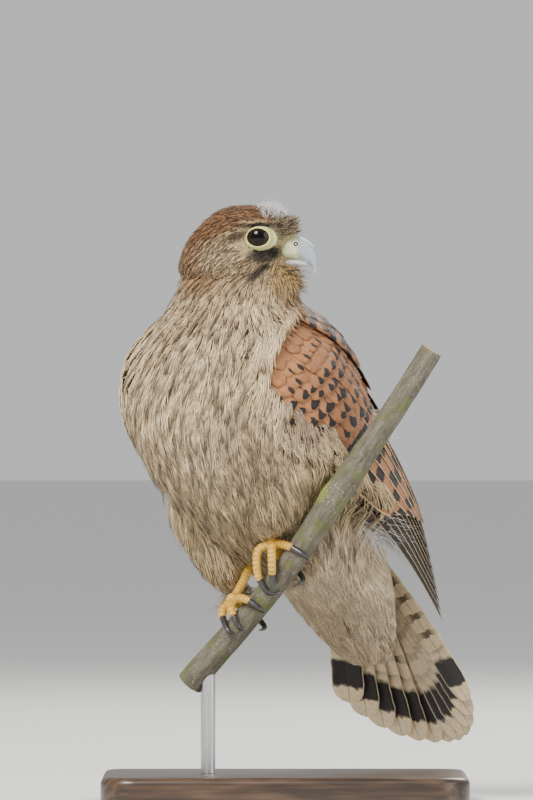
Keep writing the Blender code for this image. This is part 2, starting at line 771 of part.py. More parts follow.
def branchShape(lift=0.0):
    radii = [BRANCH_RADIUS * girth + lift for girth in BRANCH_GIRTH]
    points = [Vector(point) for point in BRANCH]
    points[0] -= (points[1] - points[0]).normalized() * lift
    points[-1] += (points[-1] - points[-2]).normalized() * lift
    return tube(points, radii, BRANCH_SIDES, BRANCH_ROWS)


def makeStand(wood, metal):
    base = bmesh.new()
    bmesh.ops.create_cube(base, size=1)
    bmesh.ops.scale(base, vec=BASE_SIZE, verts=base.verts)
    bmesh.ops.translate(base, vec=(0, 0, BASE_SIZE.z / 2), verts=base.verts)
    corners = [e for e in base.edges if abs(e.verts[0].co.z - e.verts[1].co.z) > BASE_SIZE.z / 2]
    rounding = {"affect": "EDGES", "profile": 0.5, "material": -1}
    bmesh.ops.bevel(base, geom=corners, offset=BASE_CORNER, segments=5, **rounding)
    rim = [e for e in base.edges if min(v.co.z for v in e.verts) > BASE_SIZE.z * 0.9]
    bmesh.ops.bevel(base, geom=rim, offset=BASE_EDGE, segments=2, **rounding)
    makeObject("stand_base", base, wood)
    low = BASE_SIZE.z + GAP
    high = BRANCH[0][2] + ROD_REACH
    points = [(*ROD_PLACE, low), (*ROD_PLACE, (low + high) / 2), (*ROD_PLACE, high)]
    rod = makeObject("stand_rod", tube(points, [ROD_RADIUS] * 3, 16, 1), metal)
    carve(rod, branchShape(GAP))


def main():
    clearScene()
    browns = makeMaterial("rufous feathers", (0.42, 0.21, 0.1), 0.85)
    buffs = makeMaterial("buff feathers", (0.66, 0.54, 0.36), 0.9)
    flights = makeMaterial("barred flight feathers", (0.16, 0.09, 0.06), 0.7)
    eyeGloss = makeMaterial("dark eye", (0.01, 0.008, 0.006), 0.08)
    billHorn = makeMaterial("blue grey bill", (0.42, 0.46, 0.5), 0.35)
    clawHorn = makeMaterial("black claw", (0.02, 0.02, 0.02), 0.35)
    legSkin = makeMaterial("yellow leg skin", (0.62, 0.4, 0.07), 0.5)
    bark = makeMaterial("grey brown bark", (0.22, 0.19, 0.15), 0.9)
    baseWood = makeMaterial("dark stained wood", (0.08, 0.05, 0.035), 0.4)
    rodMetal = makeMaterial("brushed steel", (0.6, 0.6, 0.6), 0.3, 1.0)
    makeHead(browns)
    makeBill(billHorn)
    makeTrunk(buffs)
    makeTail(flights)
    makeObject("perch_branch", branchShape(), bark)
    makeStand(baseWood, rodMetal)
    for side, hand in (("left", 1), ("right", -1)):
        makeEye(side, hand, eyeGloss)
        makeWing(side, hand, browns)
        makeThigh(side, buffs)
        makeLeg(side, legSkin, clawHorn)


main()
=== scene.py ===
# A juvenile common kestrel on a cut branch: its skin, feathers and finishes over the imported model
import json
import math

import bmesh
import bpy
import numpy as np
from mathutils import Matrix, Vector
from mathutils.bvhtree import BVHTree
from mathutils.kdtree import KDTree

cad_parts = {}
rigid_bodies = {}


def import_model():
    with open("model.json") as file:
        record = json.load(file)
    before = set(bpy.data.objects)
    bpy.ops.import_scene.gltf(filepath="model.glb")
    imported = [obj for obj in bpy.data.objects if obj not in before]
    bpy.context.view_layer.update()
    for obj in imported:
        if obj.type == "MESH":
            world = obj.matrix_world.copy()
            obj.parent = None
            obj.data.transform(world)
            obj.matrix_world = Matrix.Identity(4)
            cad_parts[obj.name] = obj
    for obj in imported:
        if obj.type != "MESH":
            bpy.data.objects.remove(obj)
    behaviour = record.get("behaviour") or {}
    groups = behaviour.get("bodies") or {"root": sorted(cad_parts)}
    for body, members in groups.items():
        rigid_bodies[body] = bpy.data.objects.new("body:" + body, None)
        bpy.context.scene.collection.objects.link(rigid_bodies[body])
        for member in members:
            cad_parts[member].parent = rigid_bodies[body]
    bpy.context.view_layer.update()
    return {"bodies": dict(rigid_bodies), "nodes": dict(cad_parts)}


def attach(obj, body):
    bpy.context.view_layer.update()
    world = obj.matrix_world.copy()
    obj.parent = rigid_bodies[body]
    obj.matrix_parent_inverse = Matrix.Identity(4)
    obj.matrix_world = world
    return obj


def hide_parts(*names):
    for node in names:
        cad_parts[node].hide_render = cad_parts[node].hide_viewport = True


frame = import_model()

body = next(iter(frame["bodies"]))
mm = 0.001  # every size below is in millimetres, and a mesh is scaled when it is made


# The bird's place and pose, the same as the solids'

pose = {"chest": (-18, -12, 171), "yaw": 40, "lean": 33, "headHeight": 227.6, "headTurn": 8}
yaw, lean, headTurn = (math.radians(pose[key]) for key in ("yaw", "lean", "headTurn"))
sky = np.array((0.0, 0.0, 1.0))
forward = np.array((-math.sin(yaw), -math.cos(yaw), 0))
left = np.array((math.cos(yaw), -math.sin(yaw), 0))
up = forward * math.sin(lean) + sky * math.cos(lean)
ventral = forward * math.cos(lean) - sky * math.sin(lean)
headAhead = np.array((math.cos(headTurn), -math.sin(headTurn), 0))
headLeft = np.array((math.sin(headTurn), math.cos(headTurn), 0))
chest = np.array(pose["chest"], float)
headMiddle = np.array((chest[0], chest[1], pose["headHeight"]))

# Stations of the head (height, back, front, half width) and trunk (height, forward, tilt, half width, half depth)
headStations = (
    (17, -3, 9, 4.5), (15.4, -8.5, 15.5, 9.8), (11, -15, 22, 14), (5, -20.5, 24.2, 17),
    (0, -23.6, 22.6, 18), (-5, -25.2, 21.6, 19), (-10, -26.2, 24.5, 20.5),
)
trunkStations = (
    (213, 1, 0, 25, 24), (204, 4, 3, 27.5, 26), (196, 5, 6, 31, 31), (187, 5, 12, 36.5, 39),
    (171, 3, 24, 40.5, 47), (150, -11, 33, 40, 45.5), (129, -27, 33, 37, 41), (113, -40, 33, 33, 32),
    (99.5, -55, 33, 28, 21), (83.5, -65, 33, 26, 12), (67, -76, 33, 19, 7.5), (55, -84.5, 33, 8, 3.5),
)
faceNarrowing = 0.42
bodyEnd = len(headStations) + len(trunkStations) - 1


def step(x, low, high):  # a soft step from 0 at low to 1 at high
    t = np.clip((x - low) / (high - low), 0, 1)
    return t * t * (3 - 2 * t)


def unit(vectors):
    return vectors / np.maximum(np.linalg.norm(vectors, axis=-1, keepdims=True), 1e-9)


def through(rows, t):  # a smooth curve through rows of numbers, read at an array of places
    rows, t = np.asarray(rows, float), np.atleast_1d(np.asarray(t, float))
    last = len(rows) - 1
    start = np.clip(np.floor(t).astype(int), 0, last - 1)
    f = (t - start)[:, None]
    a, b, c, d = (rows[np.clip(start + k, 0, last)] for k in (-1, 0, 1, 2))
    bend = (2 * a - 5 * b + 4 * c - d) * f**2 + (3 * b - a - 3 * c + d) * f**3
    return 0.5 * (2 * b + (c - a) * f + bend)


def mix3(a, b, c, axes):  # three amounts along three directions
    a, b, c = np.broadcast_arrays(a, b, c)
    return a[..., None] * axes[0] + b[..., None] * axes[1] + c[..., None] * axes[2]


def headPoint(ahead, side, height):
    return headMiddle + mix3(ahead, side, height, (headAhead, headLeft, sky))


def local(toLeft, toBelly, toHead):
    return chest + mix3(toLeft, toBelly, toHead, (left, ventral, up))


def headPlace(points):
    away = points - headMiddle
    return away @ headAhead, away @ headLeft, away @ sky


def bodyPlace(points):
    away = points - chest
    return away @ left, away @ ventral, away @ up


def bodyRows():
    rows = []
    for height, back, front, wide in headStations:
        middle = headPoint((back + front) / 2, 0, height)
        rows.append((*middle, *(headAhead * (front - back) / 2), *(headLeft * wide), faceNarrowing))
    for height, shift, tilt, wide, deep in trunkStations:
        tilt = math.radians(tilt)
        middle = np.array((chest[0], chest[1], height)) + forward * shift
        back = sky * math.sin(tilt) - forward * math.cos(tilt)
        rows.append((*middle, *(left * wide), *(back * deep), 0))
    return np.array(rows)


bodyTable = bodyRows()


def bodySurface(t, angle):
    row = through(bodyTable, t)
    narrow = 1 - row[:, 9] * np.maximum(0, np.cos(angle))
    return row[:, :3] + row[:, 3:6] * np.cos(angle)[:, None] + row[:, 6:9] * (np.sin(angle) * narrow)[:, None]


def bodyNormal(t, angle):
    d = 0.02
    along = bodySurface(np.minimum(t + d, bodyEnd), angle) - bodySurface(np.maximum(t - d, 0), angle)
    around = bodySurface(t, angle + d) - bodySurface(t, angle - d)
    normal = unit(np.cross(along, around))
    inward = np.sum(normal * (bodySurface(t, angle) - through(bodyTable, t)[:, :3]), axis=1) < 0
    return np.where(inward[:, None], -normal, normal)


# Finishes are built from nodes by these short helpers

def newMaterial(name):
    material = bpy.data.materials.new(name)
    material.use_nodes = True
    return material, material.node_tree, material.node_tree.nodes["Principled BSDF"]


def node(tree, kind, inputs=(), **settings):
    made = tree.nodes.new(kind)
    for key, value in settings.items():
        setattr(made, key, value)
    for key, value in dict(inputs).items():
        if isinstance(value, bpy.types.NodeSocket):
            tree.links.new(value, made.inputs[key])
        else:
            made.inputs[key].default_value = value
    return made


def calc(tree, operation, a, b=0.5, c=0.5, clamp=False):
    return node(tree, "ShaderNodeMath", {0: a, 1: b, 2: c}, operation=operation, use_clamp=clamp).outputs[0]


def blendColours(tree, factor, a, b, kind="MIX"):
    made = node(tree, "ShaderNodeMix", {0: factor, 6: a, 7: b}, data_type="RGBA", blend_type=kind)
    return made.outputs[2]


def ramp(tree, factor, stops):  # stops are places and greys or colours
    made = node(tree, "ShaderNodeValToRGB", {0: factor})
    made.color_ramp.elements[0].position = stops[0][0]
    made.color_ramp.elements[1].position = stops[-1][0]
    for place, _ in stops[1:-1]:
        made.color_ramp.elements.new(place)
    for element, (_, colour) in zip(made.color_ramp.elements, stops):
        element.color = (*colour, 1) if isinstance(colour, tuple) else (colour, colour, colour, 1)
    return made.outputs[0]


def noiseOf(tree, vector, scale, detail=4.0, rough=0.55):
    return node(tree, "ShaderNodeTexNoise", {"Vector": vector, "Scale": scale, "Detail": detail, "Roughness": rough}).outputs[0]


def objectPlace(tree, scale=(1, 1, 1), turn=(0, 0, 0)):
    place = node(tree, "ShaderNodeTexCoord").outputs["Object"]
    return node(tree, "ShaderNodeMapping", {"Vector": place, "Scale": scale, "Rotation": turn}).outputs[0]


def bump(tree, shader, height, strength, distance):
    made = node(tree, "ShaderNodeBump", {"Height": height, "Strength": strength, "Distance": distance})
    tree.links.new(made.outputs[0], shader.inputs["Normal"])


def setShader(shader, **values):
    for key, value in values.items():
        shader.inputs[key.replace("_", " ")].default_value = value


# Meshes are finished here: joined arrays in millimetres become one object in metres

def meshFromArrays(name, points, faces, material, colours=None, maps=None, values=None, smooth=True):
    mesh = bpy.data.meshes.new(name)
    loops = np.concatenate([group.ravel() for group in faces])
    sizes = np.concatenate([np.full(len(group), group.shape[1]) for group in faces])
    mesh.vertices.add(len(points))
    mesh.vertices.foreach_set("co", (points * mm).astype(np.float32).ravel())
    mesh.loops.add(len(loops))
    mesh.loops.foreach_set("vertex_index", loops.astype(np.int32))
    mesh.polygons.add(len(sizes))
    mesh.polygons.foreach_set("loop_start", (np.cumsum(sizes) - sizes).astype(np.int32))
    mesh.update(calc_edges=True)
    if colours is not None:
        layer = mesh.attributes.new("plumage", "FLOAT_COLOR", "POINT")
        layer.data.foreach_set("color", np.c_[colours, np.ones(len(colours))].astype(np.float32).ravel())
    for key, amounts in (values or {}).items():
        mesh.attributes.new(key, "FLOAT", "POINT").data.foreach_set("value", amounts.astype(np.float32))
    for key, places in (maps or {}).items():
        mesh.uv_layers.new(name=key).data.foreach_set("uv", places[loops].astype(np.float32).ravel())
    mesh.polygons.foreach_set("use_smooth", np.full(len(sizes), smooth))
    mesh.materials.append(material)
    item = bpy.data.objects.new(name, mesh)
    bpy.context.scene.collection.objects.link(item)
    return item


def dress(item, slotName, *nodes):  # every piece rides on the one body
    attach(item, body)
    if nodes:
        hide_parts(*nodes)
    return item


# A bmesh of rings: circles are made, laid on the given points and bridged
def ringShape(rings, closed=False, capped=True):
    shape = bmesh.new()
    rows = []
    for ring in rings:
        made = bmesh.ops.create_circle(shape, segments=len(ring), radius=1)["verts"]
        for vert, point in zip(made, ring):
            vert.co = point
        rows.append(made)
    pairs = list(zip(rows, rows[1:])) + ([(rows[-1], rows[0])] if closed else [])
    rowEdges = {id(row): [e for e in {edge for v in row for edge in v.link_edges}] for row in rows}
    for low, high in pairs:
        bmesh.ops.bridge_loops(shape, edges=rowEdges[id(low)] + rowEdges[id(high)])
    if capped and not closed:
        for row in (rows[0], rows[-1]):
            bmesh.ops.contextual_create(shape, geom=row)
    bmesh.ops.recalc_face_normals(shape, faces=shape.faces)
    return shape


def objectFrom(shape, name, material=None, smooth=True):
    bmesh.ops.scale(shape, vec=(mm, mm, mm), verts=shape.verts)
    mesh = bpy.data.meshes.new(name)
    shape.to_mesh(mesh)
    shape.free()
    if smooth:
        mesh.shade_smooth()
    if material:
        mesh.materials.append(material)
    item = bpy.data.objects.new(name, mesh)
    bpy.context.scene.collection.objects.link(item)
    return item


def applyModifiers(item):
    graph = bpy.context.evaluated_depsgraph_get()
    mesh = bpy.data.meshes.new_from_object(item.evaluated_get(graph))
    item.modifiers.clear()
    old, item.data = item.data, mesh
    bpy.data.meshes.remove(old)
    mesh.name = item.name


def joinAll(item, others):  # the pieces' surfaces become one mesh
    shape = bmesh.new()
    for piece in (item, *others):
        shape.from_mesh(piece.data)
    shape.to_mesh(item.data)
    shape.free()
    for piece in others:
        bpy.data.objects.remove(piece)


def pointsOf(mesh):
    points = np.empty(len(mesh.vertices) * 3, np.float32)
    mesh.vertices.foreach_get("co", points)
    return points.reshape(-1, 3) / mm


# Camera, floor and soft studio light

studio = {
    "camera": (-7.6, -5000, 165),
    "lens": 36 * 5000 / 328,
    "floorSize": 40,
    "floorColour": (0.88, 0.88, 0.86),
    "world": (0.93, 0.94, 0.95),
    "worldStrength": 0.55, "backdrop": 0.66,
    "key": {"place": (-0.9, -1.5, 1.5), "size": 0.9, "power": 74, "colour": (1.0, 0.97, 0.92)},
    "fill": {"place": (1.5, -1.1, 0.7), "size": 1.4, "power": 15, "colour": (0.93, 0.96, 1.0)},
    "rim": {"place": (0.7, 1.5, 1.3), "size": 1.0, "power": 26, "colour": (1.0, 0.98, 0.95)},
}


def makeStudio():
    camera = bpy.data.cameras.new("camera")
    camera.lens = studio["lens"]
    camera.sensor_width = 36
    camera.sensor_fit = "AUTO"
    camera.clip_end = 100
    eye = bpy.data.objects.new("camera", camera)
    eye.location = Vector(studio["camera"]) * mm
    eye.rotation_euler = (math.pi / 2, 0, 0)
    bpy.context.scene.collection.objects.link(eye)
    bpy.context.scene.camera = eye
    shape = bmesh.new()
    bmesh.ops.create_grid(shape, x_segments=1, y_segments=1, size=studio["floorSize"] / 2)
    mesh = bpy.data.meshes.new("floor")
    shape.to_mesh(mesh)
    shape.free()
    floor = bpy.data.objects.new("floor", mesh)
    bpy.context.scene.collection.objects.link(floor)
    material, tree, shader = newMaterial("pale floor")
    setShader(shader, Base_Color=(*studio["floorColour"], 1), Roughness=0.85)
    mesh.materials.append(material)
    world = bpy.data.worlds.new("studio")
    world.use_nodes = True
    world.node_tree.nodes["Background"].inputs[0].default_value = (*studio["world"], 1)
    world.node_tree.nodes["Background"].inputs[1].default_value = studio["worldStrength"]
    # the lamps' light stays separate from the paler tone that the camera sees behind the bird
    tree = world.node_tree
    rays = node(tree, "ShaderNodeLightPath").outputs["Is Camera Ray"]
    extra = studio["backdrop"] - studio["worldStrength"]
    strength = calc(tree, "MULTIPLY_ADD", rays, extra, studio["worldStrength"])
    tree.links.new(strength, tree.nodes["Background"].inputs[1])
    bpy.context.scene.world = world
    for name in ("key", "fill", "rim"):
        spec = studio[name]
        lamp = bpy.data.lights.new(name, "AREA")
        lamp.shape = "DISK"
        lamp.size = spec["size"]
        lamp.energy = spec["power"]
        lamp.color = spec["colour"]
        item = bpy.data.objects.new(name, lamp)
        item.location = spec["place"]
        aim = Vector((0, 0, 0.15)) - item.location
        item.rotation_euler = aim.to_track_quat("-Z", "Y").to_euler()
        bpy.context.scene.collection.objects.link(item)


makeStudio()
print("studio ready")


# The eyes' place, shared by the skin, lids and coat (head's own ahead, out and up)

eyes = {
    "ahead": 9.0, "out": 10.0, "raise": 3.7, "radius": 6.2,
    "openLong": 4.6, "openTall": 3.7,
    "bareAhead": 9.9, "bareRaise": 3.3, "bareLong": 6.4, "bareTall": 4.85,
}


def bareReach(ahead, height):  # 1 on the edge of the bare skin round the eye
    return np.hypot((ahead - eyes["bareAhead"]) / eyes["bareLong"], (height - eyes["bareRaise"]) / eyes["bareTall"])


# The plumage's colours and markings, by place on the bird. The skin and the coat both use them.

palette = {
    "cream": (0.86, 0.69, 0.44), "buff": (0.62, 0.44, 0.24), "olive": (0.50, 0.37, 0.19),
    "crown": (0.34, 0.165, 0.07), "forehead": (0.38, 0.29, 0.17), "cheek": (0.70, 0.52, 0.30),
    "nape": (0.40, 0.235, 0.115), "ochre": (0.55, 0.36, 0.14), "lores": (0.56, 0.47, 0.22),
    "rufous": (0.37, 0.16, 0.065), "dark": (0.045, 0.025, 0.013), "black": (0.014, 0.011, 0.010),
    "undertail": (0.84, 0.68, 0.46), "flank": (0.34, 0.24, 0.15), "thigh": (0.62, 0.50, 0.30),
    "white": (0.86, 0.86, 0.84),
}


def wobble(points, size, seed):  # a slow smooth variation between about -1 and 1
    a = np.sin(points @ np.array((1.0, 0.37, 0.61)) / size + seed * 1.7)
    b = np.sin(points @ np.array((-0.43, 1.0, 0.29)) / size * 1.31 + seed * 2.9)
    c = np.sin(points @ np.array((0.21, -0.53, 1.0)) / size * 0.83 + seed * 0.7)
    return (a + b + c) / 2.2


def spot(x, y, middle, half, turn=0.0, soft=0.35):  # 1 inside an ellipse, falling softly to 0
    dx, dy = x - middle[0], y - middle[1]
    c, s = math.cos(turn), math.sin(turn)
    reach = np.hypot((dx * c + dy * s) / half[0], (dy * c - dx * s) / half[1])
    return 1 - step(reach, 1 - soft, 1 + soft)


def plumageAt(points):
    def lay(colour, amount):
        nonlocal shade
        shade = shade + (np.array(palette[colour]) - shade) * np.clip(amount, 0, 1)[:, None]

    ahead, side, height = headPlace(points)
    toLeft, toBelly, toHead = bodyPlace(points)
    side = np.abs(side)
    world = points[:, 2]
    shade = np.tile(np.array(palette["cream"]), (len(points), 1))
    patch = wobble(points, 9, 1)
    lay("buff", 0.35 + 0.3 * patch)
    # the belly and its sides are more olive, the left flank smudged
    lay("olive", step(-toHead, 5, 45) * 0.7)
    lay("flank", spot(points[:, 0], world, (12, 158), (12, 14)) * (toBelly > 0) * 0.8)
    # a paler cream patch on the breast's front, where the key light falls, is a painted highlight
    lay("cream", spot(points[:, 0], world, (-38, 166), (16, 24)) * 0.75)
    lay("undertail", step(-toHead, 58, 74) * (toBelly < 20))
    # back, rump and nape
    behind = step(-toBelly, 4, 22) * step(-height, 14, 24)
    lay("nape", behind * step(toHead, 8, 24))
    lay("rufous", behind * step(toHead, -70, -40) * step(-toHead, -24, -8))
    inHead = step(height, -22, -12)
    lay("buff", inHead)
    nape = step(-ahead, 2, 12) * step(height, -26, -14)
    lay("nape", nape)
    lay("cheek", inHead * spot(ahead, height, (-3, -3.5), (13, 6.5), 0.25, 0.5))
    crownEdge = 8.2 - 0.32 * np.maximum(0, 2 - ahead) - 0.25 * np.maximum(0, ahead - 12)
    lay("crown", step(height, crownEdge - 2, crownEdge + 1.2))
    lay("forehead", step(ahead, 12, 18) * step(height, 2, 6))
    lay("lores", spot(ahead, height, (18.5, 1), (5, 5.5), 0, 0.5))
    lay("ochre", step(ahead, 12, 17) * step(-height, 5.5, 8) * step(height, -22, -14))
    lay("buff", spot(ahead, height, (9.5, 9.6), (8, 1.3), -0.05, 0.4) * 0.9)
    # dark marks of the face, and a painted shadow along the top of the eye's bare skin
    edge = 0.25 * wobble(points, 1.1, 5)
    lay("black", (spot(ahead, height, (11.2, -3.0), (6.6, 3.3), 0.16, 0.35) + edge * 0.4) * (bareReach(ahead, height) > 1) * inHead)
    # the thin dark line along the top of the eye's bare skin is a painted shadow under the brow
    lay("dark", spot(ahead, height, (8.6, 8.7), (8.6, 1.0), 0.05, 0.5))
    lay("dark", spot(ahead, height, (17.6, 5.4), (1.5, 3.0), 0.5, 0.5) * 0.5)
    lay("dark", spot(ahead, height, (0.2, 4.0), (4.6, 2.0), 0.35, 0.6) * 0.9)
    lay("dark", (spot(ahead, height, (9.4, -10.6), (6.2, 1.7), 0.8, 0.5) * 0.95 + edge * 0.3) * step(height, -18, -14))
    return shade


# The skin: rings inside the body's outline, with the thighs, made one by a voxel remesh

skinLook = {
    "sides": 56, "rings": 4, "voxel": 1.25, "smooth": 6,
    "depths": ((0, 1.2), (5.5, 1.3), (8, 2.2), (10.5, 3.2), (14, 3.0), (16, 1.8), (18, 1.0)),
}
thighs = {
    "left": ((24, 14, -22, 16), (19, 26, -37, 15), (14, 29.5, -46, 10.5), (11, 28, -52, 5)),
    "right": ((-20, 16, -28, 15), (-20, 27, -46, 15), (-15, 34, -62, 11), (-11, 38.5, -74, 5)),
}
thighDepth = 2.2


def coatDepth(t):
    return np.interp(t, *zip(*skinLook["depths"]))


def tubeRings(points, radii, sides, count, start=None):  # rings square to a smooth line
    rows = np.c_[np.asarray(points, float), np.asarray(radii, float)]
    samples = through(rows, np.linspace(0, len(rows) - 1, count))
    middles = samples[:, :3]
    along = unit(np.gradient(middles, axis=0))
    side = np.cross(along[0], sky if start is None else start)
    turns = np.arange(sides) * 2 * math.pi / sides
    rings = []
    for middle, line, radius in zip(middles, along, samples[:, 3]):
        side = unit(side - line * (side @ line))
        across = np.cross(line, side)
        rings.append(middle + radius * (np.cos(turns)[:, None] * side + np.sin(turns)[:, None] * across))
    return rings


def makeSkin():
    turns = np.arange(skinLook["sides"]) * 2 * math.pi / skinLook["sides"]
    rings = []
    for t in np.arange(0, bodyEnd * skinLook["rings"]) / skinLook["rings"]:
        place = np.full(len(turns), t)
        inset = bodyNormal(place, turns) * coatDepth(t)
        rings.append(bodySurface(place, turns) - inset)
    skin = objectFrom(ringShape(rings), "skin")
    legs = []
    for side, stations in thighs.items():
        middles = [local(*station[:3]) for station in stations]
        radii = [max(station[3] - thighDepth, 1.5) for station in stations]
        legs.append(objectFrom(ringShape(tubeRings(middles, radii, 24, 20)), "thigh"))
    joinAll(skin, legs)
    remesh = skin.modifiers.new("remesh", "REMESH")
    remesh.mode = "VOXEL"
    remesh.voxel_size = skinLook["voxel"] * mm
    applyModifiers(skin)
    shape = bmesh.new()
    shape.from_mesh(skin.data)
    for _ in range(skinLook["smooth"]):
        bmesh.ops.smooth_vert(shape, verts=shape.verts, factor=0.5, use_axis_x=True, use_axis_y=True, use_axis_z=True)
    # round the eye the skin sinks to a shallow cup that the lids fill
    points = np.array([vert.co for vert in shape.verts]) / mm
    ahead, side, height = headPlace(points)
    reach = bareReach(ahead, height)
    near = (np.abs(side) > 5) & (height > -6) & (ahead > -2)
    cup = np.where(near, 1 - step(reach, 0.95, 1.5), 0)
    wanted = np.sign(side) * (12.2 - 0.26 * (ahead - eyes["bareAhead"]))
    deeper = np.where(reach < 0.9, np.sign(side) * 9.0, wanted)
    points += headLeft * ((deeper - side) * cup)[:, None]
    for vert, point in zip(shape.verts, points):
        vert.co = point * mm
    shape.to_mesh(skin.data)
    shape.free()
    skin.data.shade_smooth()
    return skin


skin = makeSkin()
skinPoints = pointsOf(skin.data)
skinFaces = np.array([list(face.vertices)[:3] + [face.vertices[-1]] for face in skin.data.polygons])
skinTree = BVHTree.FromPolygons(skinPoints.tolist(), [list(face.vertices) for face in skin.data.polygons])
print("skin ready", len(skinPoints), "points")


# The nearest station and angle on the body's outline, for any point

def makeFinder():
    t, angle = np.meshgrid(np.linspace(0, bodyEnd, 220), np.arange(120) * 2 * math.pi / 120)
    t, angle = t.ravel(), angle.ravel()
    tree = KDTree(len(t))
    for i, point in enumerate(bodySurface(t, angle)):
        tree.insert(point, i)
    tree.balance()
    return tree, t, angle


finder, finderT, finderAngle = makeFinder()


def bodyFind(points):
    found = np.array([finder.find(point)[1] for point in points])
    return finderT[found], finderAngle[found]


# An unwrap of the skin's own shape for the baked colours: height along, angle round
def unwrap(t, angle):
    return np.c_[0.01 + 0.97 * ((angle + math.pi / 2) % (2 * math.pi)) / (2 * math.pi), 0.985 - 0.97 * t / bodyEnd]


def makeFeatherMaterial(name, roughness, grain):
    material, tree, shader = newMaterial(name)
    base = node(tree, "ShaderNodeAttribute", attribute_name="plumage").outputs["Color"]
    place = objectPlace(tree)
    fine = ramp(tree, noiseOf(tree, place, 900, 3), ((0.3, 1 - grain), (0.7, 1 + grain * 0.6)))
    slow = ramp(tree, noiseOf(tree, place, 60, 2), ((0.3, 0.9), (0.7, 1.06)))
    shaded = blendColours(tree, 1.0, blendColours(tree, 1.0, base, fine, "MULTIPLY"), slow, "MULTIPLY")
    tree.links.new(shaded, shader.inputs["Base Color"])
    setShader(shader, Roughness=roughness, Specular_IOR_Level=0.25, Sheen_Weight=0.12, Sheen_Roughness=0.6)
    bump(tree, shader, noiseOf(tree, place, 2200, 2), 0.25, 0.0002)
    return material


coatMaterial = makeFeatherMaterial("soft body feathers", 0.82, 0.22)


def finishSkin():
    t, angle = bodyFind(skinPoints)
    shade = plumageAt(skinPoints) * (0.62 + 0.12 * wobble(skinPoints, 2.2, 8))[:, None]
    layer = skin.data.attributes.new("plumage", "FLOAT_COLOR", "POINT")
    layer.data.foreach_set("color", np.c_[shade, np.ones(len(shade))].astype(np.float32).ravel())
    loops = np.empty(len(skin.data.loops), np.int32)
    skin.data.loops.foreach_get("vertex_index", loops)
    skin.data.uv_layers.new(name="OFBake").data.foreach_set("uv", unwrap(t, angle)[loops].astype(np.float32).ravel())
    skin.data.materials.append(coatMaterial)
    dress(skin, "buff_feathers", "head", "neck", "torso", "undertail_coverts", "thigh_left", "thigh_right")


finishSkin()


# The form under a folded wing, repeated from the solids: up the body, towards the belly, half width, half depth

wing = {
    "form": (
        (38, 4, 20, 20), (24, 4, 30, 31), (8, 3, 37.5, 40), (-10, 2, 40.5, 43.5), (-30, 1, 41, 43.5),
        (-55, 0, 43, 43), (-85, -2, 43, 39), (-110, -4, 41, 35), (-135, -5, 39, 32),
    ),
    "front": ((-135, -79, -38, -5, 20, 32), (31, 10, -15, -27, -34, -8)),
    "back": ((-135, -100, -70, -40, 0, 22, 32), (34, 45, 60, 75, 82, 78, 56)),
    "girth": 40,
}
wingForm = np.array(wing["form"], float)


def wingRow(high):
    high = np.clip(high, wingForm[-1, 0], wingForm[0, 0])
    t = np.interp(-high, -wingForm[:, 0], np.arange(len(wingForm)))
    return through(wingForm, t.ravel()).reshape(*np.shape(high), 4)


def wingSurface(hand, high, angle, height):
    high, angle, height = np.broadcast_arrays(high, angle, height)
    row = wingRow(high)
    side = hand * (row[..., 2] + height) * np.cos(angle)
    return local(side, row[..., 1] - (row[..., 3] + height) * np.sin(angle), high)


def wingAngle(high, share):
    front = np.interp(high, *wing["front"])
    back = np.interp(high, *wing["back"])
    return np.radians(front + (back - front) * share)


def wingShare(points):  # how far across its side's wing a point lies, and its height over the form
    toLeft, toBelly, toHead = bodyPlace(points)
    row = wingRow(toHead)
    x, y = np.abs(toLeft) / row[:, 2], (row[:, 1] - toBelly) / row[:, 3]
    angle = np.degrees(np.arctan2(y, x))
    front, back = np.interp(toHead, *wing["front"]), np.interp(toHead, *wing["back"])
    return (angle - front) / (back - front), toHead, np.hypot(x, y)


# The branch's middle line, used to keep feathers out of it

branch = {
    "points": (
        (-39, -3, 49), (-33.6, -5.5, 55.4), (-14.3, -14, 77.5), (-0.8, -21.5, 94.3), (6.2, -27, 104.1),
        (22.6, -40, 128.7), (35.7, -46, 148.4), (46.7, -50, 164.8), (59.5, -53, 185.3),
    ),
    "girth": (1.08, 1.06, 1.0, 0.98, 1.0, 1.1, 0.94, 0.9, 0.88),
    "radius": 5.2,
}
branchLine = through(branch["points"], np.linspace(0, len(branch["points"]) - 1, 90))


def branchDistance(points):
    best = np.full(len(points), 1e9)
    for spotOnLine in branchLine:
        best = np.minimum(best, np.einsum("ij,ij->i", points - spotOnLine, points - spotOnLine))
    return np.sqrt(best)


# The coat. Each feather is a fan of thin closed slivers that walk over the skin along the coat's lie.
# Regions give the spacing, slivers, length, width of a sliver, half width of the fan, share with a dark streak,
# how much of the sliver's end hangs free of the skin, and how ruffled it is.

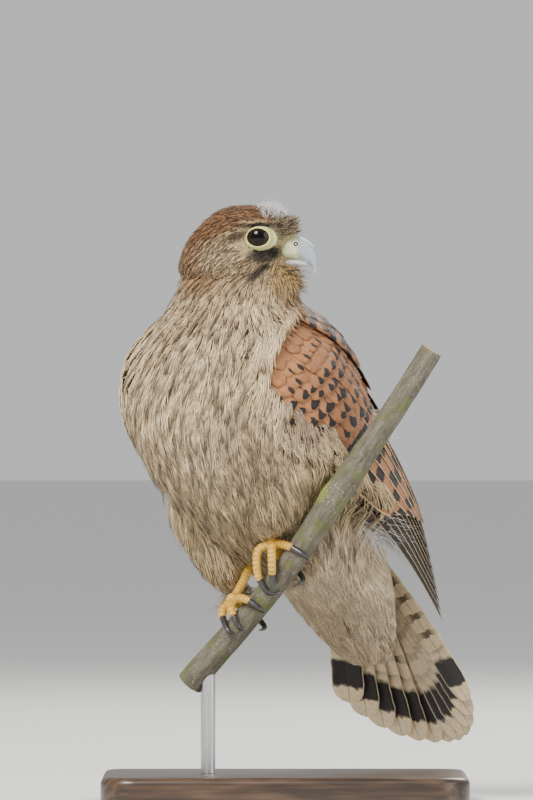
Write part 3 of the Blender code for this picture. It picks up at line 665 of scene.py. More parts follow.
coat = {
    "seed": 7,
    "regions": {
        "face": (0.80, 2, 2.3, 0.34, 0.35, 0.12, 0.1, 0.25),
        "head": (1.05, 3, 4.6, 0.40, 0.55, 0.10, 0.0, 0.14),
        "chin": (1.05, 3, 5.4, 0.32, 0.6, 0.16, 0.6, 0.3),
        "throat": (1.75, 6, 9.0, 0.46, 1.4, 0.10, 0.12, 0.22),
        "breast": (2.3, 8, 14.0, 0.56, 2.5, 0.10, 0.0, 0.2),
        "belly": (2.4, 8, 18.0, 0.56, 2.6, 0.10, 0.18, 0.3),
        "vent": (2.6, 9, 21.0, 0.6, 2.9, 0.03, 0.12, 0.12),
        "back": (2.4, 8, 9.0, 0.7, 2.4, 0.25, 0.0, 0.1),
        "thigh": (1.9, 7, 12.0, 0.5, 1.8, 0.10, 0.2, 0.3),
        "headStreak": (1.5, 3, 5.0, 0.34, 0.26, 1.0, 0.0, 0.04),
        "chinStreak": (2.6, 2, 7.0, 0.3, 0.3, 0.7, 0.75, 0.25),
        "throatStreak": (3.5, 5, 11.0, 0.46, 0.65, 1.0, 0.1, 0.07),
        "breastStreak": (4.6, 7, 15.0, 0.52, 0.95, 1.0, 0.0, 0.07),
        "bellyStreak": (5.6, 5, 17.0, 0.48, 0.75, 0.85, 0.12, 0.12),
    },
    "overlays": {"head": "headStreak", "chin": "chinStreak", "throat": "throatStreak", "breast": "breastStreak", "belly": "bellyStreak"},
    "ringPlaces": (0.0, 0.36, 0.74, 1.0),
    "ringWidths": (0.5, 1.0, 0.72),
    "pieceLimit": 11800,  # slivers in one piece, which keeps it under 200,000 triangles
}
regionNames = list(coat["regions"])


def regionOf(points, t):
    ahead, side, height = headPlace(points)
    toLeft, toBelly, toHead = bodyPlace(points)
    region = np.full(len(points), regionNames.index("breast"))
    region[toHead < -24] = regionNames.index("belly")
    region[(toHead < -62) & (toBelly < 25)] = regionNames.index("vent")
    behind = (toBelly < -12) & (t > 7.6)
    region[behind] = regionNames.index("back")
    region[t < 8.6] = regionNames.index("throat")
    region[t < 6.3] = regionNames.index("head")
    chin = (ahead > 6) & (height < -6.5) & (t < 7.2)
    region[chin] = regionNames.index("chin")
    face = (bareReach(ahead, height) < 1.55) & (height > -7) | ((ahead > 15) & (height > -6.5) & (height < 8))
    region[face & (t < 6)] = regionNames.index("face")
    for stations in thighs.values():
        for station in stations[1:]:
            close = np.linalg.norm(points - local(*station[:3]), axis=1) < station[3] - 0.6
            region[close & (toHead < -30) & (toBelly > 10)] = regionNames.index("thigh")
    return region


def lieAt(points, normals, t, angle):  # the direction that the feathers lie in
    ahead, side, height = headPlace(points)
    toLeft, toBelly, toHead = bodyPlace(points)
    fromBill = unit(points - headPoint(22, 0, 1))
    down = np.array((0.0, 0.0, -1.0))
    fall = step(-ahead, -12, 16) * 1.1 + step(-height, 4, 14) * 0.8
    headLie = fromBill + down * fall[:, None]
    d = 0.05
    stream = unit(bodySurface(np.minimum(t + d, bodyEnd), angle) - bodySurface(np.maximum(t - d, 0), angle))
    fromThroat = unit(points - headPoint(8, 0, -6))
    bodyLie = unit(stream) + fromThroat * (0.9 * (1 - step(t, 9.5, 13)))[:, None]
    bodyLie = bodyLie + down * (0.35 * step(-toHead, 10, 50) * (toBelly > 0))[:, None]
    share = step(t, 5.6, 8.0)[:, None]
    lie = unit(headLie) * (1 - share) + unit(bodyLie) * share
    return unit(lie - normals * np.sum(lie * normals, axis=1)[:, None])


def thinOut(points, spacing):  # keeps points no closer to one another than their spacing
    taken, kept = {}, []
    cells = np.floor(points / spacing).astype(int)
    square = spacing * spacing
    around = [(i, j, k) for i in (-1, 0, 1) for j in (-1, 0, 1) for k in (-1, 0, 1)]
    for index, (cell, point) in enumerate(zip(cells.tolist(), points.tolist())):
        x, y, z = point
        free = True
        for i, j, k in around:
            for ox, oy, oz in taken.get((cell[0] + i, cell[1] + j, cell[2] + k), ()):
                if (ox - x) ** 2 + (oy - y) ** 2 + (oz - z) ** 2 < square:
                    free = False
                    break
            if not free:
                break
        if free:
            taken.setdefault(tuple(cell), []).append((x, y, z))
            kept.append(index)
    return np.array(kept, int)


def skinSamples(count, random):
    triangles = np.concatenate([skinFaces[:, :3], skinFaces[:, [0, 2, 3]]])
    a, b, c = (skinPoints[triangles[:, k]] for k in range(3))
    area = np.linalg.norm(np.cross(b - a, c - a), axis=1)
    picked = random.choice(len(triangles), count, p=area / area.sum())
    u, v = np.sqrt(random.random(count)), random.random(count)
    spots = a[picked] * (1 - u)[:, None] + b[picked] * (u * (1 - v))[:, None] + c[picked] * (u * v)[:, None]
    return spots


def nearestSkin(points):
    found = [skinTree.find_nearest(point) for point in points]
    return np.array([f[0] for f in found]), np.array([f[1] for f in found])


def featherRoots(random):
    spots = skinSamples(150000, random)
    ahead, side, height = headPlace(spots)
    share, toHead, _ = wingShare(spots)
    toLeft = bodyPlace(spots)[0]
    limit = np.where(toLeft < 0, 0.42, np.where(toHead < -8, 0.16, 0.1))
    hidden = (share > limit) & (share < 0.97) & (toHead > -66) & (toHead < 27)
    hidden |= (bareReach(ahead, height) < 1.0) & (np.abs(side) > 5) & (height > -6)
    hidden |= (np.hypot(ahead - 24, (height - 0.6) * 1.05) < 6.4) & (np.abs(side) < 7)
    hidden |= (ahead > 15) & (height > -10.2) & (height < -5) & (np.abs(side) < 5)
    spots = spots[~hidden]
    t, angle = bodyFind(spots)
    region = regionOf(spots, t)
    chosen = []
    for k, name in enumerate(regionNames):
        here = np.flatnonzero(region == k)
        if len(here):
            chosen.append(here[thinOut(spots[here], coat["regions"][name][0])])
    # a second, wider set of feathers lies over the first and carries the dark streaks
    kinds = [region[group] for group in chosen]
    for under, overlay in coat["overlays"].items():
        here = np.flatnonzero(region == regionNames.index(under))
        group = here[::-1][thinOut(spots[here[::-1]], coat["regions"][overlay][0])]
        chosen.append(group)
        kinds.append(np.full(len(group), regionNames.index(overlay)))
    chosen = np.concatenate(chosen)
    return spots[chosen], t[chosen], angle[chosen], np.concatenate(kinds)


wingCover = {"height": 7.2, "fluff": 3.6}  # how high the breast's edge lies over the wing, and stands out at the right side


def liftOverWing(points):
    shape = points.shape
    points = points.reshape(-1, 3)
    share, toHead, radial = wingShare(points)
    toLeft, toBelly, _ = bodyPlace(points)
    row = wingRow(toHead)
    span = step(toHead, -78, -62) * (1 - step(toHead, 26, 36))
    inside = step(share, -0.2, 0.05) * (1 - step(share, 0.95, 1.15)) * span
    wanted = 1 + wingCover["height"] / row[:, 3]
    grow = np.maximum(wanted - radial, 0) * inside
    side = step(share, -0.75, -0.25) * (1 - step(share, 0.3, 0.6)) * step(toHead, -45, -20) * (1 - step(toHead, 24, 42))
    grow = grow + (toLeft < 0) * side * wingCover["fluff"] / row[:, 3]
    scale = 1 + grow / np.maximum(radial, 0.3)
    return local(toLeft * scale, row[:, 1] - (row[:, 1] - toBelly) * scale, toHead).reshape(shape)


def makeCoat():
    random = np.random.default_rng(coat["seed"])
    roots, t, angle, region = featherRoots(random)
    table = np.array([coat["regions"][name] for name in regionNames], float)
    spacing, count, length, width, spread, streaks, free, ruffle = table[region].T
    number = len(roots)
    print("feathers", number, {name: int((region == k).sum()) for k, name in enumerate(regionNames)})
    ahead, side, height = headPlace(roots)
    toLeft, toBelly, toHead = bodyPlace(roots)
    length = length * random.uniform(0.8, 1.25, number)
    inFace = region == regionNames.index("face")
    # the lowest belly feathers hang in a shaggy hem
    hem = step(-toHead, 48, 66) * np.isin(region, [regionNames.index("belly"), regionNames.index("bellyStreak")])
    free = np.clip(free + 0.45 * hem, 0, 1)
    length = length * (1 + 0.25 * hem)
    nodes = 5
    points, normals = nearestSkin(roots)
    lie = lieAt(points, normals, t, angle)
    lie = unit(lie + np.cross(normals, lie) * (random.normal(0, 0.16, number) * (0.5 + ruffle * 2))[:, None])
    line, across, over = [points - normals * 0.35], [np.cross(normals, lie)], [normals]
    depth = np.where(region == regionNames.index("thigh"), thighDepth, coatDepth(t)) * random.uniform(0.75, 1.12, number)
    overlaid = region >= regionNames.index("headStreak")
    depth = depth + np.where(overlaid, 0.1 * depth + np.where(length > 8, 0.75, 0.2), 0)
    climb = np.where(overlaid, 0.4, 0.75)
    tt, aa = t, angle
    for k in range(1, nodes):
        ahead = points + lie * (length / (nodes - 1))[:, None]
        ahead[:, 2] -= free * length * 0.05 * k
        near, normals = nearestSkin(ahead)
        points = near + (ahead - near) * np.clip(free * k / 2.5, 0, 0.9)[:, None]
        moved = unit(points - line[-1] + over[-1] * 0)
        lie = unit(lie * 0.55 + moved * 0.45)
        lie = unit(lie - normals * np.sum(lie * normals, axis=1)[:, None] * (1 - free)[:, None])
        rise = depth * (k / (nodes - 1)) ** climb
        line.append(points + normals * rise[:, None])
        across.append(unit(np.cross(normals, lie)))
        over.append(normals)
    line, across, over = (np.stack(group, axis=1) for group in (line, across, over))
    fixed = line[:, :1].copy()
    line = liftOverWing(line)
    line[:, :1] = fixed
    # every feather is repeated for each of its slivers
    owner = np.repeat(np.arange(number), count.astype(int))
    first = np.cumsum(count.astype(int)) - count.astype(int)
    within = np.arange(len(owner)) - first[owner]
    slot = (within + 0.5) / count[owner] * 2 - 1 + random.normal(0, 0.07, len(owner))
    reach = (1 - np.where(overlaid[owner], 0.34, 0.22) * slot**2) * random.uniform(0.82, 1.06, len(owner))
    places = np.array(coat["ringPlaces"])[None, :] * reach[:, None] * (nodes - 1)
    low = np.clip(np.floor(places).astype(int), 0, nodes - 2)
    f = (places - low)[..., None]
    pick = owner[:, None]
    middle = line[pick, low] * (1 - f) + line[pick, low + 1] * f
    sideways = unit(across[pick, low] * (1 - f) + across[pick, low + 1] * f)
    upwards = unit(over[pick, low] * (1 - f) + over[pick, low + 1] * f)
    open_ = np.array((0.35, 0.8, 1.0, 1.0))[None, :]
    splay = slot[:, None] * spread[owner][:, None] * open_
    stray = random.normal(0, 1, (len(owner), 1)) * ruffle[owner][:, None] * np.array((0, 0.3, 0.8, 1.6))[None, :]
    lift = random.normal(0, 1, (len(owner), 1)) * ruffle[owner][:, None] * np.array((0, 0.3, 0.8, 1.3))[None, :]
    middle = middle + sideways * (splay + stray)[..., None]
    middle = middle + upwards * (lift - 0.10 * slot[:, None] ** 2 * spread[owner][:, None])[..., None]
    half = width[owner][:, None] / 2 * np.array(coat["ringWidths"])[None, :] * random.uniform(0.75, 1.25, (len(owner), 1))
    rings = np.stack([
        middle[:, :3] - sideways[:, :3] * half[..., None],
        middle[:, :3] + sideways[:, :3] * half[..., None],
        middle[:, :3] + upwards[:, :3] * (half * 0.8)[..., None],
    ], axis=2)
    verts = np.concatenate([rings.reshape(len(owner), 9, 3), middle[:, 3:4]], axis=1)
    # colour: by place, lighter or darker by sliver, with a dark streak along the shaft of some feathers
    places = np.array((0, 0, 0, 0.36, 0.36, 0.36, 0.74, 0.74, 0.74, 1.0))[None, :] * reach[:, None]
    shade = plumageAt(verts.reshape(-1, 3)).reshape(len(owner), 10, 3)
    tone = 1 + random.normal(0, 0.13, len(owner)) + random.normal(0, 0.07, number)[owner]
    root = 0.5 + 0.5 * step(places, 0.1, 0.5)
    shade = shade * np.clip(tone, 0.5, 1.5)[:, None, None] * root[..., None]
    streaked = (random.random(number) < streaks) * random.uniform(0.7, 1.0, number)
    streakHalf = np.where(overlaid, 2.0, random.uniform(0.2, 0.4, number))
    dark = streaked[owner] * (np.abs(slot) < streakHalf[owner])
    begin = np.where(length > 8, 0.36, 0.15)[owner]
    dark = dark[:, None] * step(places, begin[:, None] - 0.1, begin[:, None] + 0.1) * (1 - 0.4 * step(places, 0.93, 1.02))
    shade = shade + (np.array(palette["dark"]) - shade) * np.clip(dark, 0, 1)[..., None] * 0.93
    # slivers that would run into the branch or an eye are left out
    flat = verts.reshape(-1, 3)
    clear = (branchDistance(flat) > branch["radius"] * 1.05 + 0.4).reshape(len(owner), 10).all(axis=1)
    a, s, h = headPlace(flat)
    overEye = (np.hypot((a - eyes["bareAhead"]) / eyes["bareLong"], (h - eyes["bareRaise"]) / eyes["bareTall"]) < 0.93)
    overEye &= (np.abs(s) > 8) & (h > -6)
    clear &= ~overEye.reshape(len(owner), 10).any(axis=1)
    keep = np.flatnonzero(clear)
    keep = keep[np.argsort(-roots[owner[keep], 2] // 12 * 12, kind="stable")]
    place = unwrap(t, angle)[owner]
    patch = np.stack([np.broadcast_to(places, (len(owner), 10)), np.tile((0, 1, 0.5) * 3 + (0.5,), (len(owner), 1))], axis=2)
    bake = place[:, None, :] + patch * 0.003
    writeSlivers("coat", verts, shade, bake, keep)


sliverFaces = []
for k in (0, 3):
    for j in range(3):
        sliverFaces.append((k + j, k + (j + 1) % 3, k + 3 + (j + 1) % 3, k + 3 + j))
sliverFaces = np.array(sliverFaces)
sliverEnds = np.array([(6, 7, 9), (7, 8, 9), (8, 6, 9), (2, 1, 0)])


def writeSlivers(name, verts, shade, bake, keep):
    pieces = max(1, math.ceil(len(keep) / coat["pieceLimit"]))
    for k, chosen in enumerate(np.array_split(keep, pieces)):
        base = (np.arange(len(chosen)) * 10)[:, None, None]
        faces = [(base + sliverFaces[None]).reshape(-1, 4), (base + sliverEnds[None]).reshape(-1, 3)]
        title = name if pieces == 1 else f"{name}_{k + 1}"
        item = meshFromArrays(
            title, verts[chosen].reshape(-1, 3), faces, coatMaterial,
            shade[chosen].reshape(-1, 3), {"OFBake": bake[chosen].reshape(-1, 2)},
        )
        dress(item, "buff_feathers")
    print(name, len(keep), "slivers in", pieces, "pieces")


makeCoat()


# Nestling down: thin white wisps left on the forecrown, the flank and the wing's edges

down = {
    "colour": "white", "width": 0.15,
    "forecrown": {"count": 250, "length": 3.9, "slivers": 3},
    # short bristly feathers by the bill: places ahead and up, count, length, width, lean ahead and up, colour, dark share
    "bristles": (
        ((9, 21), (-17, -8.2), 460, 6.2, 0.24, (0.4, -0.8), "ochre", 0.3),
        ((14, 21.5), (4.6, 11), 420, 3.4, 0.22, (0.75, 0.45), "forehead", 0.4),
    ),
    "wisps": (  # on the left wing: distance up the body, share across the wing, tufts, length
        (12, 0.97, 16, 6), (-12, 0.98, 18, 7), (-35, 0.55, 26, 6), (-42, 0.7, 26, 6), (-47, 0.92, 40, 9), (-20, 0.02, 14, 4),
    ),
    "flank": {"from": (29, 119), "to": (45, 106), "count": 150, "length": 17},
}


def growDown(roots, directions, normals, length, slivers, width, random, colours=None):
    count = len(roots) * slivers
    owner = np.repeat(np.arange(len(roots)), slivers)
    way = unit(directions[owner] + random.normal(0, 0.34, (count, 3)))
    reach = length[owner] * random.uniform(0.55, 1.2, count)
    curl = random.normal(0, 0.16, (count, 3)) * reach[:, None]
    places = np.array((0, 0.36, 0.74, 1.0))
    middle = roots[owner][:, None] + way[:, None] * (reach[:, None] * places)[..., None] + curl[:, None] * (places**2)[None, :, None]
    side = unit(np.cross(normals[owner] + random.normal(0, 0.4, (count, 3)), way))
    over = unit(np.cross(way, side))
    half = width / 2 * np.array((1.0, 0.8, 0.5))[None, :, None] * random.uniform(0.7, 1.4, (count, 1, 1))
    rings = np.stack([
        middle[:, :3] - side[:, None] * half, middle[:, :3] + side[:, None] * half, middle[:, :3] + over[:, None] * half * 1.2,
    ], axis=2)
    verts = np.concatenate([rings.reshape(count, 9, 3), middle[:, 3:4]], axis=1)
    if colours is None:
        colours = np.tile(palette[down["colour"]], (len(roots), 1))
    shade = np.repeat(colours[owner][:, None], 10, axis=1) * random.uniform(0.8, 1.1, (count, 1, 1))
    t, angle = bodyFind(roots)
    patch = np.tile(np.linspace(0, 1, 10)[:, None], (1, 2)) * 0.003
    return verts, shade, unwrap(t, angle)[owner][:, None, :] + patch[None]


def makeDown():
    random = np.random.default_rng(77)
    made = []
    spec = down["forecrown"]
    spots = skinSamples(90000, random)
    ahead, side, height = headPlace(spots)
    edge = 11 - 0.55 * np.maximum(ahead - 13, 0)
    chance = step(ahead, 6, 14) * (1 - step(ahead, 17, 22)) * step(height, edge - 1.5, edge + 2.5)
    keep = (random.random(len(spots)) < chance) & (np.abs(side) < 9)
    spots = spots[keep][: spec["count"]]
    points, normals = nearestSkin(spots)
    ahead = headPlace(points)[0]
    size = spec["length"] * (0.35 + 0.75 * np.exp(-(((ahead - 13.5) / 4.5) ** 2)))
    way = unit(normals * 1.0 + np.array(-headAhead) * 0.55 + sky * 0.35)
    made.append(growDown(points + normals * 0.6, way, normals, size, spec["slivers"], down["width"], random))
    for aheads, heights, count, length, width, lean, colour, darkShare in down["bristles"]:
        spots = skinSamples(120000, random)
        ahead, side, height = headPlace(spots)
        keep = (ahead > aheads[0]) & (ahead < aheads[1]) & (height > heights[0]) & (height < heights[1]) & (np.abs(side) < 8)
        points, normals = nearestSkin(spots[keep][:count])
        way = unit(normals * 0.7 + np.array(headAhead) * lean[0] + sky * lean[1])
        tint = np.array(palette[colour]) * random.uniform(0.7, 1.3, (len(points), 1))
        tint[random.random(len(points)) < darkShare] = np.array(palette["dark"]) * 1.4
        made.append(growDown(points + normals * 0.8, way, normals, np.full(len(points), length), 2, width, random, tint))
    for high, share, count, length in down["wisps"]:
        highs = high + random.normal(0, 3.5, count)
        shares = share + random.normal(0, 0.03, count)
        roots = wingSurface(1, highs, wingAngle(highs, shares), 4.6)
        away = unit(roots - wingSurface(1, highs, wingAngle(highs, shares), 0))
        way = unit(away * 0.7 - up * 0.9 + left * 0.4)
        made.append(growDown(roots, way, away, np.full(count, float(length)), 3, down["width"], random))
    spec = down["flank"]
    roots = []
    for share in random.random(spec["count"]):
        x, z = (a + (b - a) * share + random.normal(0, 1.6) for a, b in zip(spec["from"], spec["to"]))
        hit = skinTree.ray_cast(Vector((x, -300, z)), Vector((0, 1, 0)))[0]
        if hit is not None:
            roots.append(hit)
    roots = np.array(roots)
    points, normals = nearestSkin(roots)
    way = unit(normals * 0.3 - up * 0.75 + left * 0.55)
    made.append(growDown(points + normals * 1.6, way, normals, np.full(len(points), float(spec["length"])), 4, 0.34, random))
    verts, shade, bake = (np.concatenate(group) for group in zip(*made))
    clear = (branchDistance(verts.reshape(-1, 3)) > branch["radius"] * 1.05 + 0.4).reshape(len(verts), 10).all(axis=1)
    writeSlivers("down", verts, shade, bake, np.flatnonzero(clear))


makeDown()


# Feathers with a vane: closed, thin and curved, each laid by a place function (along, across, height)

outlines = {  # place along a feather and share of its full width
    "round": ((0, 0.35), (0.2, 0.85), (0.6, 1.0), (0.84, 0.93), (0.95, 0.62), (1, 0.14)),
    "blunt": ((0, 0.45), (0.35, 0.92), (0.75, 1.0), (0.9, 0.84), (0.97, 0.5), (1, 0.12)),
    "tail": ((0, 0.3), (0.25, 0.7), (0.6, 0.97), (0.9, 1.0), (0.955, 0.9), (0.98, 0.72), (0.993, 0.5), (1, 0.3)),
    "sharp": ((0, 0.35), (0.2, 0.9), (0.6, 0.95), (0.85, 0.7), (0.96, 0.38), (1, 0.06)),
}
vaneThickness = 0.32


def vanePoints(place, outline, width, heights, roll, crown, rows, columns, wavy, random):
    along = np.sin(np.linspace(0, 1, rows) * math.pi / 2) * 0.85 + np.linspace(0, 1, rows) * 0.15
    share = np.interp(along, *zip(*outlines[outline]))
    side = np.linspace(-1, 1, columns)
    a, s = np.meshgrid(along, side, indexing="ij")
    trail = 0.008 if outline == "tail" else 0.045
    reach = a - trail * np.abs(s) ** 1.6 * step(a, 0.7, 1)
    across = s * share[:, None] * width / 2 * (1 + 0.05 * random.normal(size=a.shape) * wavy * step(a, 0.3, 1))
    rise = heights[0] + (heights[1] - heights[0]) * np.sin(a * math.pi / 2)
    height = rise + across * roll + (1 - np.abs(s) ** 1.7) * width * crown
    thick = vaneThickness * (1 - 0.45 * a) * (1 - 0.55 * np.abs(s))
    top = place(reach, across, height)
    bottom = place(reach, across, height - thick)
    return np.concatenate([top.reshape(-1, 3), bottom.reshape(-1, 3)]), a.ravel(), s.ravel()


def vaneFaces(rows, columns):
    grid = np.arange(rows * columns).reshape(rows, columns)
    low = grid + rows * columns
    a, b, c, d = grid[:-1, :-1], grid[:-1, 1:], grid[1:, 1:], grid[1:, :-1]
    top = np.stack([a, b, c, d], axis=-1).reshape(-1, 4)
    under = top[:, ::-1] + rows * columns
    rim = np.concatenate([grid[0, :], grid[1:, -1], grid[-1, -2::-1], grid[-2:0:-1, 0]])
    after = np.roll(rim, -1)
    edge = np.stack([rim, rim + rows * columns, after + rows * columns, after], axis=-1)
    return np.concatenate([top, under, edge])


def writeVanes(name, feathers, material, slotName, rows, columns, nodes=(), flip=False):
    faces = vaneFaces(rows, columns)
    size = rows * columns * 2
    count = len(feathers)
    points = np.concatenate([feather[0] for feather in feathers])
    along = np.concatenate([np.tile(feather[1], 2) for feather in feathers])
    side = np.concatenate([np.tile(feather[2], 2) for feather in feathers])
    seeds = np.repeat([feather[3] for feather in feathers], size)
    under = np.tile(np.repeat((0.0, 1.0), size // 2), count)
    allFaces = (np.arange(count)[:, None, None] * size + faces[None]).reshape(-1, 4)
    if flip:
        allFaces = allFaces[:, ::-1]
    cells = math.ceil(math.sqrt(count * 2))
    cell = np.repeat(np.arange(count) * 2, size) + under
    corner = np.c_[cell % cells, cell // cells] + 0.08
    bake = (corner + 0.84 * np.c_[(side + 1) / 2, along]) / cells
    item = meshFromArrays(
        name, points, [allFaces], material, None,
        {"vane": np.c_[along, (side + 1) / 2], "OFBake": bake}, {"seed": seeds, "under": under},
    )
    dress(item, slotName, *nodes)
    print(name, count, "vanes,", len(allFaces) * 2, "triangles")
    return item


def wingPlace(hand, start, end):  # start and end are distance up the body and angle
    slant = math.atan((end[1] - start[1]) * wing["girth"] / (start[0] - end[0]))

    def place(along, across, height):
        high = start[0] + (end[0] - start[0]) * along + across * math.sin(slant)
        angle = start[1] + (end[1] - start[1]) * along + across / wing["girth"] * math.cos(slant)
        return wingSurface(hand, high, angle, height)

    return place


# Tiers of the wing: root, tip, count, width, heights, first and last share across the wing
wingTiers = {
    "lesser": (
        (33, 24, 6, 8, 1.4, 2.6, 0.24, 0.95), (29, 19.5, 9, 8, 1.8, 3.4, 0.2, 0.92),
        (24.5, 15, 11, 8, 2.3, 4.0, 0.16, 0.90), (20, 10.5, 12, 8, 2.6, 4.4, 0.1, 0.88),
        (15.5, 6, 13, 8, 2.8, 4.7, 0.04, 0.87),
    ),
    "coverts": (
        (11, 0.5, 13, 9, 2.9, 5.0, 0.0, 0.86), (6, -5, 13, 9.2, 2.9, 5.1, 0.01, 0.86),
        (0.5, -11, 13, 9.4, 2.9, 5.2, 0.02, 0.87), (-5, -17.5, 13, 9.6, 2.8, 5.2, 0.03, 0.88),
        (-11, -26, 12, 10, 2.6, 5.1, 0.04, 0.9),
    ),
    "greater": ((-16, -42, 11, 10.5, 2.2, 4.6, 0.05, 0.93),),
}
wingRoll = -0.10
secondaries = {"count": 10, "root": -26, "tips": (-64, -90), "shares": (0.08, 0.95), "width": 10.5, "roll": -0.18}
primaries = {"count": 9, "root": -50, "tip": -130, "spread": 40, "width": 9.5, "step": 0.55, "roots": 0.62, "fan": 14}
scapulars = {  # long feathers that lie over the wing's back edge from the shoulder
    "tiers": (
        (34, 19, 5, 11, 3.2, 5.8, 0.58, 1.04), (27, 9, 6, 12, 4.2, 6.6, 0.60, 1.05),
        (18, -2, 7, 12.5, 4.6, 7.0, 0.62, 1.06), (8, -14, 7, 12.5, 4.6, 7.0, 0.66, 1.06),
        (-3, -28, 6, 12, 4.4, 6.8, 0.71, 1.06), (-17, -48, 6, 11.5, 4.0, 6.4, 0.76, 1.04),
    ),
}


def vaneMaterial(name, build, roughness=0.6, barbs=1.0):
    material, tree, shader = newMaterial(name)
    uv = node(tree, "ShaderNodeUVMap", uv_map="vane").outputs[0]
    parts = node(tree, "ShaderNodeSeparateXYZ", {0: uv}).outputs
    along = parts[0]
    side = calc(tree, "MULTIPLY_ADD", parts[1], 2.0, -1.0)
    away = calc(tree, "ABSOLUTE", side)
    seed = node(tree, "ShaderNodeAttribute", attribute_name="seed").outputs["Fac"]
    under = node(tree, "ShaderNodeAttribute", attribute_name="under").outputs["Fac"]
    place = objectPlace(tree)
    grain = noiseOf(tree, place, 420, 3)
    slant = calc(tree, "MULTIPLY_ADD", away, -0.35, along)
    phase = calc(tree, "MULTIPLY_ADD", slant, 260 * barbs, calc(tree, "MULTIPLY", grain, 5.0))
    barb = calc(tree, "MULTIPLY_ADD", calc(tree, "SINE", phase), 0.5, 0.5)
    uneven = calc(tree, "SUBTRACT", noiseOf(tree, place, 260, 2), 0.5)
    parts = {"along": along, "side": side, "away": away, "seed": seed, "under": under, "place": place, "uneven": uneven}
    colour = build(tree, parts)
    lines = ramp(tree, barb, ((0.0, 0.80), (1.0, 1.08)))
    mottle = ramp(tree, grain, ((0.3, 0.86), (0.7, 1.1)))
    shaft = calc(tree, "LESS_THAN", away, 0.035)
    colour = blendColours(tree, 1.0, blendColours(tree, 1.0, colour, lines, "MULTIPLY"), mottle, "MULTIPLY")
    colour = blendColours(tree, calc(tree, "MULTIPLY", shaft, 0.55), colour, (0.05, 0.03, 0.02, 1))
    tree.links.new(colour, shader.inputs["Base Color"])
    setShader(shader, Roughness=roughness, Specular_IOR_Level=0.3, Sheen_Weight=0.08)
    bump(tree, shader, barb, 0.35, 0.00012)
    return material


def darkWhere(tree, half, parts, sharp=14.0, rough=0.35):  # dark where the distance from the shaft is under half
    reach = calc(tree, "MULTIPLY_ADD", parts["uneven"], rough, calc(tree, "SUBTRACT", half, parts["away"]))
    return calc(tree, "MULTIPLY", reach, sharp, clamp=True)


def band(tree, value, low, high, soft=0.02):  # 1 between low and high
    rise = node(tree, "ShaderNodeMapRange", {0: value, 1: low - soft, 2: low + soft}).outputs[0]
    drop = node(tree, "ShaderNodeMapRange", {0: value, 1: high + soft, 2: high - soft}).outputs[0]
    return calc(tree, "MULTIPLY", rise, drop)


def colour4(name, gain=1.0):
    return (*(min(1.0, part * gain) for part in palette[name]), 1)


def rufousBase(tree, parts, first="rufous", second="rufous", gain=1.25):
    return blendColours(tree, parts["seed"], colour4(first), colour4(second, gain))


def lesserLook(tree, parts):
    base = rufousBase(tree, parts)
    half = ramp(tree, parts["along"], ((0.55, 0.0), (0.7, 0.26), (0.93, 0.3), (0.97, 0.0)))
    some = calc(tree, "GREATER_THAN", parts["seed"], 0.45)
    dark = calc(tree, "MULTIPLY", darkWhere(tree, half, parts), some)
    return blendColours(tree, dark, base, colour4("dark", 0.6))


def covertLook(tree, parts):
    base = rufousBase(tree, parts)
    half = ramp(tree, parts["along"], ((0.56, 0.0), (0.62, 0.1), (0.84, 0.62), (0.92, 0.5), (0.95, 0.0)))
    size = calc(tree, "MULTIPLY_ADD", parts["seed"], 0.8, 0.7)
    dark = darkWhere(tree, calc(tree, "MULTIPLY", half, size), parts, 12.0, 0.9)
    return blendColours(tree, dark, base, colour4("black", 1.3))


def greaterLook(tree, parts):
    base = rufousBase(tree, parts, gain=1.1)
    turn = calc(tree, "MULTIPLY_ADD", parts["along"], 26.0, calc(tree, "MULTIPLY", parts["seed"], 3.0))
    wave = calc(tree, "ADD", calc(tree, "SINE", turn), calc(tree, "MULTIPLY", parts["uneven"], 1.4))
    bars = calc(tree, "MULTIPLY", calc(tree, "ADD", wave, -0.05), 5.0, clamp=True)
    bars = calc(tree, "MULTIPLY", bars, node(tree, "ShaderNodeMapRange", {0: parts["away"], 1: 0.95, 2: 0.8}).outputs[0])
    colour = blendColours(tree, bars, base, colour4("black", 1.2))
    edge = calc(tree, "MAXIMUM", calc(tree, "GREATER_THAN", parts["away"], 0.93), calc(tree, "GREATER_THAN", parts["along"], 0.975))
    return blendColours(tree, calc(tree, "MULTIPLY", edge, 0.8), colour, colour4("cream", 0.9))


def primaryLook(tree, parts):
    colour = blendColours(tree, parts["seed"], colour4("black", 1.1), colour4("black", 1.9))
    rim = calc(tree, "GREATER_THAN", parts["away"], 0.92)
    tip = calc(tree, "GREATER_THAN", calc(tree, "MULTIPLY_ADD", parts["away"], 0.03, parts["along"]), 0.985)
    return blendColours(tree, calc(tree, "MULTIPLY", calc(tree, "MAXIMUM", rim, tip), 0.85), colour, colour4("buff", 0.9))


def scapularLook(tree, parts):
    base = blendColours(tree, parts["seed"], colour4("rufous", 0.75), colour4("rufous", 1.0))
    first = band(tree, parts["along"], 0.42, 0.58)
    half = ramp(tree, parts["along"], ((0.66, 0.0), (0.74, 0.75), (0.88, 0.8), (0.95, 0.0)))
    dark = calc(tree, "MAXIMUM", first, darkWhere(tree, half, parts))
    return blendColours(tree, dark, base, colour4("dark", 0.45))


